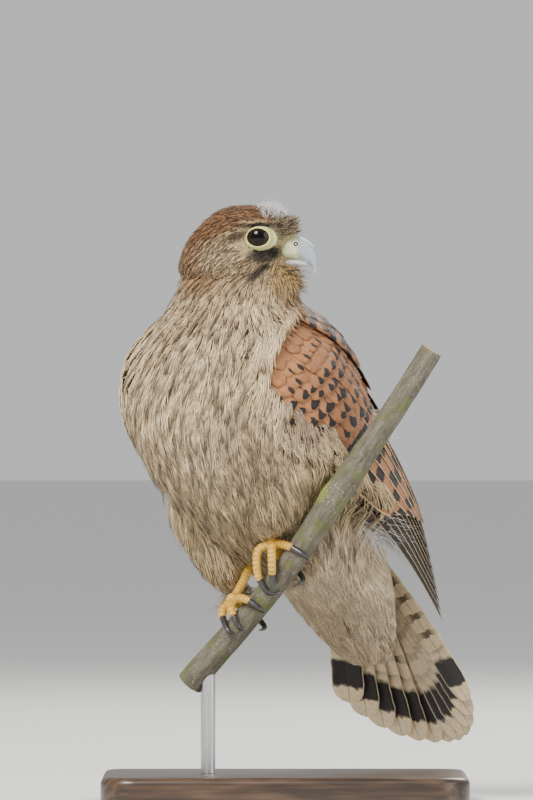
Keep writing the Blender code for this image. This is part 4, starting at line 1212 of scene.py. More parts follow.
def makeWings():
    looks = {"lesser": lesserLook, "coverts": covertLook, "greater": greaterLook}
    looks = {key: vaneMaterial(key + " feathers", look) for key, look in looks.items()}
    scapularMaterial = vaneMaterial("scapular feathers", scapularLook)
    primaryMaterial = vaneMaterial("primary feathers", primaryLook, 0.5)
    for side, hand in (("left", 1), ("right", -1)):
        random = np.random.default_rng(20 + hand)
        replaced = ["wing_" + side]
        for key, tiers in (*wingTiers.items(), ("scapulars", scapulars["tiers"])):
            feathers = []
            for root, tip, count, width, low, high, first, last in tiers:
                for i in range(count):
                    share = first + (last - first) * (i + 0.5) / count + random.normal(0, 0.006)
                    jitter = random.normal(0, 0.5, 2)
                    start = (root + jitter[0], wingAngle(root, share))
                    end = (tip + jitter[1], wingAngle(tip, share) + random.normal(0, 0.02))
                    place = wingPlace(hand, start, end)
                    rows, columns = (6, 5)
                    made = vanePoints(
                        place, "blunt", width * random.uniform(0.92, 1.08), (low, high + random.normal(0, 0.15)),
                        wingRoll, 0.05, rows, columns, 1.0, random,
                    )
                    feathers.append((*made, random.random()))
            material = scapularMaterial if key == "scapulars" else looks[key]
            writeVanes(f"{side}_{key}", feathers, material, "rufous_feathers", 6, 5, replaced, hand > 0)
            replaced = []
        feathers = []
        spec = secondaries
        for i in range(spec["count"]):
            share = spec["shares"][0] + (spec["shares"][1] - spec["shares"][0]) * i / (spec["count"] - 1)
            tip = spec["tips"][0] + (spec["tips"][1] - spec["tips"][0]) * math.sin(share * math.pi * 0.6)
            place = wingPlace(hand, (spec["root"], wingAngle(spec["root"], share)), (tip, wingAngle(tip, share)))
            made = vanePoints(place, "round", spec["width"], (1.6, 5.0), spec["roll"], 0.03, 12, 7, 0.6, random)
            feathers.append((*made, random.random()))
        writeVanes(f"{side}_secondaries", feathers, looks["greater"], "rufous_feathers", 12, 7, (), hand > 0)
        feathers = []
        spec = primaries
        for i in range(spec["count"]):
            share = i / (spec["count"] - 1)
            tip = spec["tip"] + spec["spread"] * share**1.2
            start = (spec["root"], wingAngle(spec["root"], share * spec["roots"]) + math.radians(5))
            end = (tip, wingAngle(tip, 0) + math.radians(1 + spec["fan"] * share))
            heights = (0.4, 0.2 + spec["step"] * i)
            made = vanePoints(wingPlace(hand, start, end), "sharp", spec["width"], heights, 0, 0.025, 14, 7, 0.5, random)
            feathers.append((*made, random.random()))
        writeVanes(f"{side}_primaries", feathers, primaryMaterial, "flight_feathers", 14, 7, (), hand > 0)


makeWings()


# The tail: a fan of feathers, the outer ones nearest the ground

tail = {
    "count": 12, "length": 107, "width": 15, "root": (2, -23, -84), "shorter": 0.2,
    "fan": math.radians(38), "swing": math.radians(3), "step": 1.0, "spread": 5, "bend": 6, "roof": 0.003,
}


def tailPlace(share, turn, length):
    x0, y0, z0 = tail["root"]

    def place(along, across, height):
        reach = along * length
        toLeft = x0 + share * tail["spread"] + reach * math.sin(turn) + across * math.cos(turn)
        toHead = z0 - reach * math.cos(turn) + across * math.sin(turn)
        droop = tail["roof"] * (toLeft - x0) ** 2 * along
        return local(toLeft, y0 + tail["bend"] * along - height + droop, toHead)

    return place


def tailLook(tree, parts):
    # the upper side is rufous brown with dark bars, the underside pale buff with small spots
    u = parts["along"]
    uneven = calc(tree, "MULTIPLY", parts["uneven"], 0.05)
    place = calc(tree, "ADD", u, uneven)
    wave = calc(tree, "SINE", calc(tree, "MULTIPLY_ADD", place, 62.0, calc(tree, "MULTIPLY", parts["seed"], 1.2)))
    bars = calc(tree, "MULTIPLY", calc(tree, "SUBTRACT", wave, 0.35), 5.0, clamp=True)
    before = node(tree, "ShaderNodeMapRange", {0: u, 1: 0.74, 2: 0.70}).outputs[0]
    bars = calc(tree, "MULTIPLY", bars, before)
    upper = blendColours(tree, bars, colour4("rufous", 0.8), colour4("dark", 0.8))
    faint = calc(tree, "MULTIPLY", bars, node(tree, "ShaderNodeMapRange", {0: parts["away"], 1: 0.25, 2: 0.7, 3: 0.9, 4: 0.35}).outputs[0])
    lower = blendColours(tree, faint, colour4("cream", 0.95), colour4("dark", 1.4))
    colour = blendColours(tree, parts["under"], upper, lower)
    dark = band(tree, place, 0.765, 0.915, 0.012)
    colour = blendColours(tree, dark, colour, colour4("black", 1.2))
    tip = calc(tree, "GREATER_THAN", place, 0.915)
    colour = blendColours(tree, tip, colour, colour4("cream", 1.1))
    rim = calc(tree, "MULTIPLY", calc(tree, "GREATER_THAN", parts["away"], 0.94), 0.8)
    return blendColours(tree, rim, colour, colour4("cream", 1.0))


def makeTail():
    random = np.random.default_rng(31)
    feathers = []
    for i in range(tail["count"]):
        share = 2 * i / (tail["count"] - 1) - 1
        turn = tail["swing"] + share * tail["fan"] / 2
        length = tail["length"] * (1 - tail["shorter"] * share * share)
        level = min(i, tail["count"] - 1 - i) * tail["step"] - 2.5 + (0.5 if i >= tail["count"] // 2 else 0)
        place = tailPlace(share, turn, length)
        made = vanePoints(place, "tail", tail["width"], (level, level + 1), 0, 0.025, 24, 9, 0.5, random)
        feathers.append((*made, random.random()))
    writeVanes("tail_feathers", feathers, vaneMaterial("tail feathers", tailLook, 0.6, 1.6), "flight_feathers", 24, 9, ("tail",))


makeTail()


# Eyes, with a raised pale rim and bare skin that runs out under the face's feathers

lids = {  # share of the way from the eye's opening to the edge of the bare skin, and height over the plain slope
    "stations": (
        (-0.16, -1.2), (-0.02, -0.15), (0.0, 0.12), (0.04, 0.42), (0.12, 0.62), (0.22, 0.60), (0.32, 0.34),
        (0.40, 0.10), (0.50, 0.02), (0.66, 0.12), (0.82, 0.10), (0.96, -0.1), (1.12, -0.6),
        (0.9, -1.8), (0.35, -2.2), (-0.16, -2.4),
    ),
    "sides": 72,
    "slope": 0.26,
    "plain": 12.9,
    "yellow": (0.60, 0.58, 0.24),
    "rim": (0.86, 0.84, 0.30),
    "shade": (0.30, 0.31, 0.17),
}


def ballOut(ahead, height):  # how far out the eyeball's surface lies
    flat = eyes["radius"] ** 2 - (ahead - eyes["ahead"]) ** 2 - (height - eyes["raise"]) ** 2
    return eyes["out"] + np.sqrt(np.maximum(flat, 0.5))


def lidRings(hand):
    turns = np.arange(lids["sides"]) * 2 * math.pi / lids["sides"]
    rings = []
    for share, rise in lids["stations"]:
        long = eyes["openLong"] + (eyes["bareLong"] - eyes["openLong"]) * share
        tall = eyes["openTall"] + (eyes["bareTall"] - eyes["openTall"]) * share
        shift = np.clip(share, 0, 1) ** 1.5
        ahead = eyes["ahead"] + (eyes["bareAhead"] - eyes["ahead"]) * shift + long * np.cos(turns)
        height = eyes["raise"] + (eyes["bareRaise"] - eyes["raise"]) * shift + tall * np.sin(turns)
        plain = lids["plain"] - lids["slope"] * (ahead - eyes["bareAhead"])
        blendIn = step(share, 0.15, 0.8)
        out = ballOut(ahead, height) * (1 - blendIn) + plain * blendIn + rise
        if share > 0 and rise > -1:
            out = np.maximum(out, ballOut(ahead, height) + 0.15)
        rings.append(headPoint(ahead, hand * out, height))
    return rings


def makeEyes():
    material, tree, shader = newMaterial("wet dark eye")
    depth = node(tree, "ShaderNodeAttribute", attribute_name="iris").outputs["Fac"]
    fibres = noiseOf(tree, objectPlace(tree), 2500, 3)
    iris = ramp(tree, calc(tree, "MULTIPLY_ADD", calc(tree, "SUBTRACT", fibres, 0.5), 0.06, depth), (
        (0.40, (0.002, 0.002, 0.002)), (0.44, (0.008, 0.004, 0.002)), (0.66, (0.020, 0.010, 0.005)),
        (0.74, (0.006, 0.005, 0.004)),
    ))
    tree.links.new(iris, shader.inputs["Base Color"])
    setShader(shader, Roughness=0.03, Specular_IOR_Level=0.22)
    bare, tree, shader = newMaterial("bare yellow skin")
    base = node(tree, "ShaderNodeAttribute", attribute_name="plumage").outputs["Color"]
    pores = noiseOf(tree, objectPlace(tree), 2600, 3)
    grain = ramp(tree, pores, ((0.3, 0.88), (0.7, 1.06)))
    tree.links.new(blendColours(tree, 1.0, base, grain, "MULTIPLY"), shader.inputs["Base Color"])
    setShader(shader, Roughness=0.42, Specular_IOR_Level=0.45, Subsurface_Weight=0.15)
    shader.inputs["Subsurface Radius"].default_value = (0.0012, 0.0008, 0.0003)
    bump(tree, shader, pores, 0.3, 0.0001)
    for side, hand in (("left", 1), ("right", -1)):
        shape = bmesh.new()
        bmesh.ops.create_uvsphere(shape, u_segments=56, v_segments=36, radius=eyes["radius"])
        points = np.array([vert.co for vert in shape.verts])
        iris = np.arccos(np.clip(points[:, 2] / eyes["radius"], -1, 1))
        # the ball's pole looks out of the head
        turned = headPoint(eyes["ahead"] + points[:, 0], hand * (eyes["out"] + points[:, 2]), eyes["raise"] + points[:, 1])
        for vert, point in zip(shape.verts, turned):
            vert.co = point
        bmesh.ops.recalc_face_normals(shape, faces=shape.faces)
        ball = objectFrom(shape, side + "_eyeball", material)
        ball.data.attributes.new("iris", "FLOAT", "POINT").data.foreach_set("value", iris.astype(np.float32))
        dress(ball, "eye", "eye_" + side)
        rings = lidRings(hand)
        lid = objectFrom(ringShape(rings, closed=True, capped=False), side + "_eyelid", bare)
        share = np.repeat([station[0] for station in lids["stations"]], lids["sides"])
        points = np.concatenate(rings)
        ahead, out, height = headPlace(points)
        colour = np.tile(lids["yellow"], (len(points), 1))
        colour += (np.array(lids["rim"]) - colour) * (1 - step(share, 0.25, 0.4))[:, None]
        # the back and the lower part of the bare skin are darkened towards the dull olive shade colour: painted shade
        back = step(share, 0.3, 0.6) * step(-ahead, -7, -2)
        under = step(share, 0.35, 0.8) * step(-height, -1.5, 2.5)
        colour += (np.array(lids["shade"]) - colour) * np.clip(back * 0.8 + under * 0.5, 0, 1)[:, None]
        # the lid's lining inside the opening, tucked against the eyeball, is darkened to a quarter: painted shade
        colour *= np.where(share < 0.0, 0.25, 1)[:, None]
        # a dark band in the groove outside the raised rim is painted shade
        colour *= (1 - 0.2 * np.exp(-((share - 0.42) / 0.06) ** 2))[:, None]
        layer = lid.data.attributes.new("plumage", "FLOAT_COLOR", "POINT")
        layer.data.foreach_set("color", np.c_[colour, np.ones(len(colour))].astype(np.float32).ravel())
        dress(lid, "leg_skin")


makeEyes()


# The bill: ahead, up, half height and half width of each station

bill = {
    "upper": (
        (13, -0.8, 4.7, 5.6), (16, -0.6, 4.75, 5.2), (19, -0.5, 4.7, 4.8), (22, -0.45, 4.55, 4.25), (24.6, -1.0, 4.6, 3.75),
        (27.0, -2.2, 3.95, 3.1), (28.8, -4.1, 2.95, 2.45), (30, -6.4, 1.95, 1.7), (30.5, -8.8, 1.1, 1.0), (30.25, -11, 0.3, 0.3),
    ),
    "lower": ((13, -6.6, 1.9, 4.4), (17, -6.5, 1.9, 4.1), (21, -6.35, 1.8, 3.4), (24.5, -6.6, 1.5, 2.6), (26.8, -7.1, 1.0, 1.7), (27.8, -7.3, 0.4, 0.8)),
    "sides": 40,
    "rings": 90,
    "tooth": (27.9, 0.75),  # how far ahead the notched edge's tooth stands, and its depth
    "cere": 23.9,
    "nostril": (23.2, 4.25, 1.1, 1.0),
    "horn": (0.36, 0.40, 0.44),
    "pale": (0.58, 0.60, 0.58),
    "cereColour": (0.62, 0.63, 0.36),
}


def billRings(stations, upper):
    rows = through(stations, np.linspace(0, len(stations) - 1, bill["rings"]))
    slope = np.arctan2(np.gradient(rows[:, 1]), np.gradient(rows[:, 0]))
    turns = np.arange(bill["sides"]) * 2 * math.pi / bill["sides"]
    rings = []
    for (ahead, height, high, wide), angle in zip(rows, slope):
        rise = high * np.sin(turns)
        side = wide * np.cos(turns)
        if upper:
            # the ridge is narrow, the sides full, and the cutting edge a little turned in
            side = side * (1 - 0.16 * np.clip(np.sin(turns), 0, 1) ** 2) * (1 + 0.06 * np.clip(-np.sin(turns), 0, 1))
            swell = 0.28 * (1 - step(ahead, bill["cere"] - 0.25, bill["cere"] + 0.25)) * step(ahead, 14, 19)
            rise = rise * (1 + swell / high)
            side = side * (1 + swell / wide)
            low = np.clip(-np.sin(turns) - 0.45, 0, 1) / 0.55
            edge = np.abs(np.cos(turns)) ** 0.5
            x = ahead - rise * math.sin(angle)
            rise = rise - bill["tooth"][1] * low * edge * np.exp(-(((x - bill["tooth"][0]) / 0.8) ** 2)) * step(ahead, 24, 26)
            rise = np.where(np.sin(turns) < 0, rise * (1 - 0.1 * (1 - edge)), rise)
        else:
            rise = np.where(np.sin(turns) > 0, rise * 0.75, rise)
        rings.append(headPoint(ahead - rise * math.sin(angle), side, height + rise * math.cos(angle)))
    return rings


def makeBill():
    material, tree, shader = newMaterial("horn of the bill")
    base = node(tree, "ShaderNodeAttribute", attribute_name="plumage").outputs["Color"]
    place = objectPlace(tree, (1, 1, 1), (0, 0, headTurn))
    streaks = noiseOf(tree, node(tree, "ShaderNodeMapping", {"Vector": place, "Scale": (0.35, 1.6, 1.6)}).outputs[0], 900, 4)
    shaded = blendColours(tree, 1.0, base, ramp(tree, streaks, ((0.3, 0.88), (0.7, 1.07))), "MULTIPLY")
    tree.links.new(shaded, shader.inputs["Base Color"])
    setShader(shader, Roughness=0.3, Specular_IOR_Level=0.5, Coat_Weight=0.25, Coat_Roughness=0.15)
    bump(tree, shader, streaks, 0.12, 0.0001)
    for key in ("upper", "lower"):
        rings = billRings(bill[key], key == "upper")
        item = objectFrom(ringShape(rings), key + "_bill", material)
        points = np.concatenate(rings)
        ahead, side, height = headPlace(points)
        colour = np.tile(bill["horn"], (len(points), 1))
        # the bill's upper half is paled a little by a painted highlight; the hook's pale tip is its own colour
        ridge = step(height, -1.5, 3.5) * 0.35 + step(-height, 8.2, 10.4)
        colour += (np.array(bill["pale"]) - colour) * np.clip(ridge, 0, 1)[:, None]
        low = step(-height, 3.2, 5.4) * (ahead < 27.5) * 0.7
        colour += (np.array(bill["pale"]) - colour) * low[:, None]
        cere = 1 - step(ahead + 0.12 * height, bill["cere"] - 1.2, bill["cere"] + 0.9)
        if key == "upper":
            colour += (np.array(bill["cereColour"]) - colour) * cere[:, None]
            colour *= (1 - 0.25 * np.exp(-(((ahead + 0.12 * height - bill["cere"] - 0.25) / 0.25) ** 2)))[:, None]
        else:
            colour += (np.array(bill["pale"]) - colour) * 0.3
        layer = item.data.attributes.new("plumage", "FLOAT_COLOR", "POINT")
        layer.data.foreach_set("color", np.c_[colour, np.ones(len(colour))].astype(np.float32).ravel())
        dress(item, "bill", "bill_" + key)
    # the nostril's opening is a nearly flat disc in almost black: painted shade of the hole
    hollow, tree, shader = newMaterial("nostril painted shade")
    setShader(shader, Base_Color=(0.02, 0.018, 0.014, 1), Roughness=0.6)
    stops = ramp(tree, noiseOf(tree, objectPlace(tree), 3000, 2), ((0.3, (0.016, 0.013, 0.01)), (0.7, (0.035, 0.03, 0.022))))
    tree.links.new(stops, shader.inputs["Base Color"])
    rimMaterial, tree, shader = newMaterial("cere rim")
    stops = ramp(tree, noiseOf(tree, objectPlace(tree), 2500, 2), ((0.3, (0.62, 0.62, 0.42)), (0.7, (0.75, 0.74, 0.52))))
    tree.links.new(stops, shader.inputs["Base Color"])
    setShader(shader, Roughness=0.4)
    turns = np.arange(28) * 2 * math.pi / 28
    ahead, out, height, radius = bill["nostril"]
    for side, hand in (("left", 1), ("right", -1)):
        def ringAt(r, depth):
            a, h = ahead + r * np.cos(turns), height + r * np.sin(turns)
            lean = -0.28 * (a - ahead)
            return headPoint(a, hand * (out + depth + lean), h)

        rim = [ringAt(radius * k, d) for k, d in ((1.5, -0.5), (1.35, -0.02), (1.18, 0.16), (1.0, 0.12), (0.92, -0.1), (0.9, -0.6))]
        dress(objectFrom(ringShape(rim), side + "_nostril_rim", rimMaterial), "bill")
        # this shallow dark disc stands in for the shade inside the nostril
        cup = [ringAt(radius * k, d) for k, d in ((0.98, -0.5), (0.97, 0.02), (0.6, -0.05), (0.3, -0.1))]
        dress(objectFrom(ringShape(cup), side + "_nostril", hollow), "bill")
        bead = [ringAt(radius * k, d) for k, d in ((0.28, -0.3), (0.36, -0.05), (0.3, 0.12), (0.14, 0.2))]
        dress(objectFrom(ringShape(bead), side + "_nostril_bead", rimMaterial), "bill")


makeBill()


# Feet: toes and shank as tubes with scutes above and pads below, made one by a fine remesh

feet = {
    "left": {
        "shank": ((-4.5, -9, 117), (-5, -15, 112), (-5.2, -23, 106.4)),
        "outer": (((-5.6, -23, 106), (-10.6, -24, 104), (-11.6, -25, 98), (-10.4, -25.2, 90.5)), ((-6.2, -25.6, 86.2), (-1.6, -24.6, 87))),
        "middle": (((-5, -23.6, 106.3), (-5.4, -27.5, 104.5), (-5.4, -29.5, 98.5), (-5.2, -28.2, 93)), ((-5.2, -28.4, 89.2), (-5.6, -28.2, 86.2))),
        "inner": (((-4.5, -23.6, 106.5), (-0.6, -27.5, 106), (3.6, -32, 104.5)), ((8, -33.6, 101.6), (9.6, -31.4, 99.4))),
        "hind": (((-5, -22, 105.4), (-2.9, -18.9, 102.3), (1.6, -16.5, 98.6), (5.4, -17.8, 95)), ((7.3, -22, 91.4), (3.4, -25.4, 88.8))),
    },
    "right": {
        "shank": ((-14, 1, 99), (-17, -4, 91), (-21.4, -10.5, 83.2)),
        "outer": (((-22, -11, 82.6), (-25.4, -13.5, 79), (-25.6, -15.5, 75)), ((-23.4, -19.6, 71), (-20, -20.4, 69.6))),
        "middle": (((-21, -12.5, 82.6), (-22.2, -18.5, 80), (-20.8, -20.8, 76)), ((-19, -21.8, 72.6), (-17, -21.2, 70.8))),
        "inner": (((-20, -13, 83.2), (-17.6, -19, 84), (-13.8, -22.5, 82.6)), ((-10, -23.2, 79.6), (-8.6, -21, 77.6))),
        "hind": (((-20.6, -8.6, 83), (-18.2, -4.6, 80.4), (-13.2, -4.2, 76.8), (-10, -6.4, 74.6)), ((-8.4, -12, 72), (-10.6, -15.6, 70.8))),
    },
}
toes = ("outer", "middle", "inner", "hind")
footLook = {
    "toe": 1.95, "shank": 2.05, "pad": 2.9, "taper": 0.2, "scute": 1.75, "sides": 22, "ringStep": 0.28, "voxel": 0.27,
    "skin": (0.66, 0.36, 0.035), "line": (0.27, 0.11, 0.02), "pale": (0.74, 0.52, 0.12),
    "clawRadii": (1.45, 1.05, 0.16), "clawRoot": 1.3,
}


def footTube(points, radius):  # rings with plates above and soft pads below, and how deep each groove is
    rows = through(points, np.linspace(0, len(points) - 1, 200))
    far = np.concatenate([[0], np.cumsum(np.linalg.norm(np.diff(rows, axis=0), axis=1))])
    count = max(8, int(far[-1] / footLook["ringStep"]))
    places = np.linspace(0, far[-1], count)
    middles = np.stack([np.interp(places, far, rows[:, k]) for k in range(3)], axis=1)
    along = unit(np.gradient(middles, axis=0))
    turns = np.arange(footLook["sides"]) * 2 * math.pi / footLook["sides"]
    rings, marks = [], []
    for middle, line, place in zip(middles, along, places):
        near = branchLine[np.argmin(np.linalg.norm(branchLine - middle, axis=1))]
        out = middle - near
        out = unit(out - line * (out @ line))
        across = np.cross(line, out)
        phase = place / footLook["scute"] % 1
        groove = np.exp(-((min(phase, 1 - phase) / 0.13) ** 2))
        upper = step(np.cos(turns), -0.1, 0.5)
        pads = np.cos(place / footLook["scute"] * math.pi) ** 2
        size = radius * (1 - footLook["taper"] * place / far[-1])
        end = min(place, far[-1] - place) / radius
        size *= math.sqrt(max(0.12, 1 - (1 - min(end, 1)) ** 2))
        reach = size * (1 + upper * (0.07 * phase - 0.13 * groove) + (1 - upper) * 0.12 * (pads - 0.6))
        rings.append(middle + reach[:, None] * (np.cos(turns)[:, None] * out + np.sin(turns)[:, None] * across))
        marks.append(np.clip(groove * (0.35 + 0.65 * upper), 0, 1))
    return rings, np.concatenate(marks)


def makeFeet():
    material, tree, shader = newMaterial("scaled yellow skin")
    base = node(tree, "ShaderNodeAttribute", attribute_name="plumage").outputs["Color"]
    place = objectPlace(tree)
    cells = node(tree, "ShaderNodeTexVoronoi", {"Vector": place, "Scale": 1300}).outputs["Distance"]
    worn = ramp(tree, noiseOf(tree, place, 500, 4), ((0.3, 0.82), (0.7, 1.1)))
    tree.links.new(blendColours(tree, 1.0, base, worn, "MULTIPLY"), shader.inputs["Base Color"])
    setShader(shader, Roughness=0.45, Specular_IOR_Level=0.45, Subsurface_Weight=0.1)
    shader.inputs["Subsurface Radius"].default_value = (0.0012, 0.0006, 0.0002)
    bump(tree, shader, cells, 0.25, 0.00012)
    horn, tree, shader = newMaterial("black claw horn")
    streaks = noiseOf(tree, objectPlace(tree, (1, 1, 0.4)), 1500, 4)
    tree.links.new(ramp(tree, streaks, ((0.3, (0.012, 0.012, 0.013)), (0.75, (0.05, 0.048, 0.046)))), shader.inputs["Base Color"])
    setShader(shader, Roughness=0.3, Specular_IOR_Level=0.5, Coat_Weight=0.2)
    for side in ("left", "right"):
        parts, marked = [], []
        for name in ("shank", *toes):
            points = feet[side][name] if name == "shank" else feet[side][name][0]
            rings, marks = footTube(points, footLook["shank"] if name == "shank" else footLook["toe"])
            parts.append(objectFrom(ringShape(rings), name))
            marked.append((np.concatenate(rings), marks))
        pad = bmesh.new()
        bmesh.ops.create_uvsphere(pad, u_segments=24, v_segments=16, radius=footLook["pad"])
        bmesh.ops.translate(pad, vec=feet[side]["shank"][-1], verts=pad.verts)
        parts.append(objectFrom(pad, "pad"))
        item = parts[0]
        item.name = side + "_foot"
        joinAll(item, parts[1:])
        remesh = item.modifiers.new("remesh", "REMESH")
        remesh.mode = "VOXEL"
        remesh.voxel_size = footLook["voxel"] * mm
        applyModifiers(item)
        points = pointsOf(item.data)
        known = np.concatenate([group[0] for group in marked])
        marks = np.concatenate([group[1] for group in marked])
        tree = KDTree(len(known))
        for i, point in enumerate(known):
            tree.insert(point, i)
        tree.balance()
        mark = marks[[tree.find(point)[1] for point in points]]
        colour = np.tile(footLook["skin"], (len(points), 1))
        patch = 0.5 + 0.5 * wobble(points, 1.7, 3)
        colour += (np.array(footLook["pale"]) - colour) * (0.45 * patch)[:, None]
        colour += (np.array(footLook["line"]) - colour) * (mark * 0.8)[:, None]
        layer = item.data.attributes.new("plumage", "FLOAT_COLOR", "POINT")
        layer.data.foreach_set("color", np.c_[colour, np.ones(len(colour))].astype(np.float32).ravel())
        item.data.shade_smooth()
        item.data.materials.append(material)
        dress(item, "leg_skin", "foot_" + side)
        for name in toes:
            toe, bend = feet[side][name]
            end = np.array(toe[-1], float)
            ahead = unit(end - np.array(toe[-2], float))
            line = (end - ahead * footLook["clawRoot"], *bend)
            claw = ringShape(tubeRings(line, footLook["clawRadii"], 18, 30, np.array((0.3, 1, 0.2))))
            dress(objectFrom(claw, f"{side}_{name}_claw", horn), "claw", f"claw_{side}_{name}")
    print("feet ready")


makeFeet()


# The branch: bark with ridges, a knot with lichen, and two cut ends

bark = {
    "rings": 320, "sides": 72, "knot": (17.5, -36.5, 127.5), "knotSize": 5.2, "knotHeight": 0.9,
    "ridge": 0.16, "rough": 0.12,
    "colours": ((0.30, (0.055, 0.047, 0.036)), (0.5, (0.125, 0.108, 0.080)), (0.72, (0.235, 0.215, 0.165))),
    "lichen": (0.36, 0.36, 0.07), "moss": (0.12, 0.14, 0.045), "wood": (0.52, 0.40, 0.25),
}


def makeBranch():
    rows = np.c_[np.array(branch["points"], float), branch["radius"] * np.array(branch["girth"])]
    t = np.linspace(0, len(rows) - 1, bark["rings"])
    samples = through(rows, t)
    middles = samples[:, :3]
    along = unit(np.gradient(middles, axis=0))
    far = np.concatenate([[0], np.cumsum(np.linalg.norm(np.diff(middles, axis=0), axis=1))])
    turns = np.arange(bark["sides"]) * 2 * math.pi / bark["sides"]
    side = np.cross(along[0], sky)
    rings = []
    for middle, line, radius, place in zip(middles, along, samples[:, 3], far):
        side = unit(side - line * (side @ line))
        across = np.cross(line, side)
        spokes = np.cos(turns)[:, None] * side + np.sin(turns)[:, None] * across
        ridges = np.sin(turns * 9 + 1.3 * np.sin(place / 11)) * np.sin(turns * 5 + place / 23 + 1)
        knobs = wobble(spokes * 6 + np.array((0, 0, place / 1.6)), 1.0, 4) * 0.6 + wobble(spokes * 14 + np.array((0, 0, place * 1.3)), 1.0, 9) * 0.4
        bump_ = np.exp(-((np.linalg.norm(middle + spokes * radius - np.array(bark["knot"]), axis=1) / bark["knotSize"]) ** 2))
        reach = radius - 0.12 + bark["ridge"] * ridges + bark["rough"] * knobs + bark["knotHeight"] * bump_
        rings.append(middle + spokes * reach[:, None])
    ends = []
    for ring, middle, line, way in ((rings[0], middles[0], along[0], 1), (rings[-1], middles[-1], along[-1], -1)):
        ends.append([middle + (ring - middle) * share + line * way * inset for share, inset in ((0.94, 0.0), (0.6, 0.12), (0.3, 0.1), (0.08, 0.14))])
    rings = [*ends[0][::-1], *rings, *ends[1]]
    item = objectFrom(ringShape(rings), "branch")
    points = np.concatenate(rings)
    cut = np.zeros((len(rings), bark["sides"]))
    cut[:4] = cut[-4:] = 1
    item.data.attributes.new("cut", "FLOAT", "POINT").data.foreach_set("value", cut.ravel().astype(np.float32))
    knot = np.exp(-((np.linalg.norm(points - np.array(bark["knot"]), axis=1) / (bark["knotSize"] * 1.3)) ** 2))
    item.data.attributes.new("knot", "FLOAT", "POINT").data.foreach_set("value", knot.astype(np.float32))
    material, tree, shader = newMaterial("grey brown bark")
    direction = Vector(along[len(along) // 2])
    turn = direction.to_track_quat("Z", "Y").inverted().to_euler()
    place = objectPlace(tree, (1, 1, 1), tuple(turn))
    long = node(tree, "ShaderNodeMapping", {"Vector": place, "Scale": (1, 1, 0.28)}).outputs[0]
    coarse = noiseOf(tree, long, 420, 6, 0.65)
    fine = noiseOf(tree, place, 1600, 4, 0.6)
    both = calc(tree, "MULTIPLY_ADD", fine, 0.35, calc(tree, "MULTIPLY", coarse, 0.68))
    colour = ramp(tree, both, bark["colours"])
    specks = ramp(tree, noiseOf(tree, place, 900, 2, 0.4), ((0.66, 0.0), (0.72, 1.0)))
    colour = blendColours(tree, calc(tree, "MULTIPLY", specks, 0.5), colour, (0.42, 0.40, 0.33, 1))
    patches = noiseOf(tree, place, 120, 4, 0.6)
    moss = ramp(tree, patches, ((0.52, 0.0), (0.64, 0.75)))
    colour = blendColours(tree, moss, colour, (*bark["moss"], 1))
    near = node(tree, "ShaderNodeAttribute", attribute_name="knot").outputs["Fac"]
    spread = calc(tree, "ADD", calc(tree, "MULTIPLY", near, 0.62), calc(tree, "MULTIPLY", noiseOf(tree, place, 480, 4, 0.65), 0.62))
    lichen = ramp(tree, spread, ((0.50, 0.0), (0.58, 0.9)))
    crust = blendColours(tree, ramp(tree, fine, ((0.4, 0.0), (0.62, 1.0))), (*bark["moss"], 1), (*bark["lichen"], 1))
    colour = blendColours(tree, lichen, colour, crust)
    isCut = node(tree, "ShaderNodeAttribute", attribute_name="cut").outputs["Fac"]
    colour = blendColours(tree, isCut, colour, blendColours(tree, coarse, (*bark["wood"], 1), (0.36, 0.26, 0.15, 1)))
    tree.links.new(colour, shader.inputs["Base Color"])
    setShader(shader, Roughness=0.85, Specular_IOR_Level=0.25)
    bump(tree, shader, calc(tree, "ADD", coarse, calc(tree, "MULTIPLY", fine, 0.5)), 0.7, 0.0006)
    item.data.materials.append(material)
    dress(item, "bark", "perch_branch")


makeBranch()


# The stand: a flat base with rounded corners and edge, and a short rod

stand = {
    "size": (150, 130, 12), "corner": 14, "edge": 3, "foot": 0.6, "rod": (-31.5, -6.4), "rodRadius": 3,
    "wood": ((0.35, (0.030, 0.017, 0.010)), (0.55, (0.062, 0.034, 0.019)), (0.75, (0.105, 0.060, 0.033))),
}


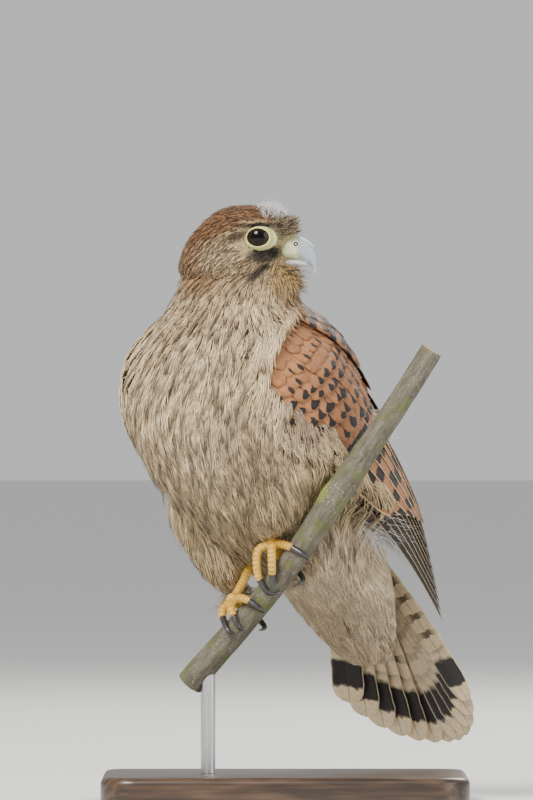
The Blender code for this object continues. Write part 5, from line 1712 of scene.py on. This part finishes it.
def makeStand():
    base = bmesh.new()
    bmesh.ops.create_cube(base, size=1)
    bmesh.ops.scale(base, vec=stand["size"], verts=base.verts)
    high = stand["size"][2]
    bmesh.ops.translate(base, vec=(0, 0, high / 2), verts=base.verts)
    rounding = {"affect": "EDGES", "profile": 0.5, "material": -1}
    corners = [e for e in base.edges if abs(e.verts[0].co.z - e.verts[1].co.z) > high / 2]
    bmesh.ops.bevel(base, geom=corners, offset=stand["corner"], segments=20, **rounding)
    rim = [e for e in base.edges if min(v.co.z for v in e.verts) > high * 0.9]
    bmesh.ops.bevel(base, geom=rim, offset=stand["edge"], segments=8, **rounding)
    rim = [e for e in base.edges if max(v.co.z for v in e.verts) < high * 0.01]
    bmesh.ops.bevel(base, geom=rim, offset=stand["foot"], segments=3, **rounding)
    item = objectFrom(base, "base")
    item.data.set_sharp_from_angle(angle=math.radians(35))
    material, tree, shader = newMaterial("dark stained wood")
    place = objectPlace(tree, (0.12, 1, 1))
    warp = noiseOf(tree, place, 60, 3)
    grain = noiseOf(tree, objectPlace(tree, (0.05, 1, 1)), 700, 5, 0.6)
    rings = calc(tree, "MULTIPLY_ADD", calc(tree, "SINE", calc(tree, "MULTIPLY", warp, 38.0)), 0.12, grain)
    tree.links.new(ramp(tree, rings, stand["wood"]), shader.inputs["Base Color"])
    setShader(shader, Roughness=0.36, Specular_IOR_Level=0.45, Coat_Weight=0.3, Coat_Roughness=0.25)
    bump(tree, shader, grain, 0.15, 0.0003)
    item.data.materials.append(material)
    dress(item, "base_wood", "stand_base")
    metal, tree, shader = newMaterial("brushed steel")
    brushed = noiseOf(tree, objectPlace(tree, (1, 1, 0.03)), 2500, 4)
    tree.links.new(ramp(tree, brushed, ((0.3, (0.50, 0.50, 0.50)), (0.7, (0.66, 0.66, 0.65)))), shader.inputs["Base Color"])
    setShader(shader, Metallic=1.0, Roughness=0.3)
    bump(tree, shader, brushed, 0.15, 0.0001)
    rod = frame["nodes"]["stand_rod"]
    rod.data.materials.clear()
    rod.data.materials.append(metal)


makeStand()
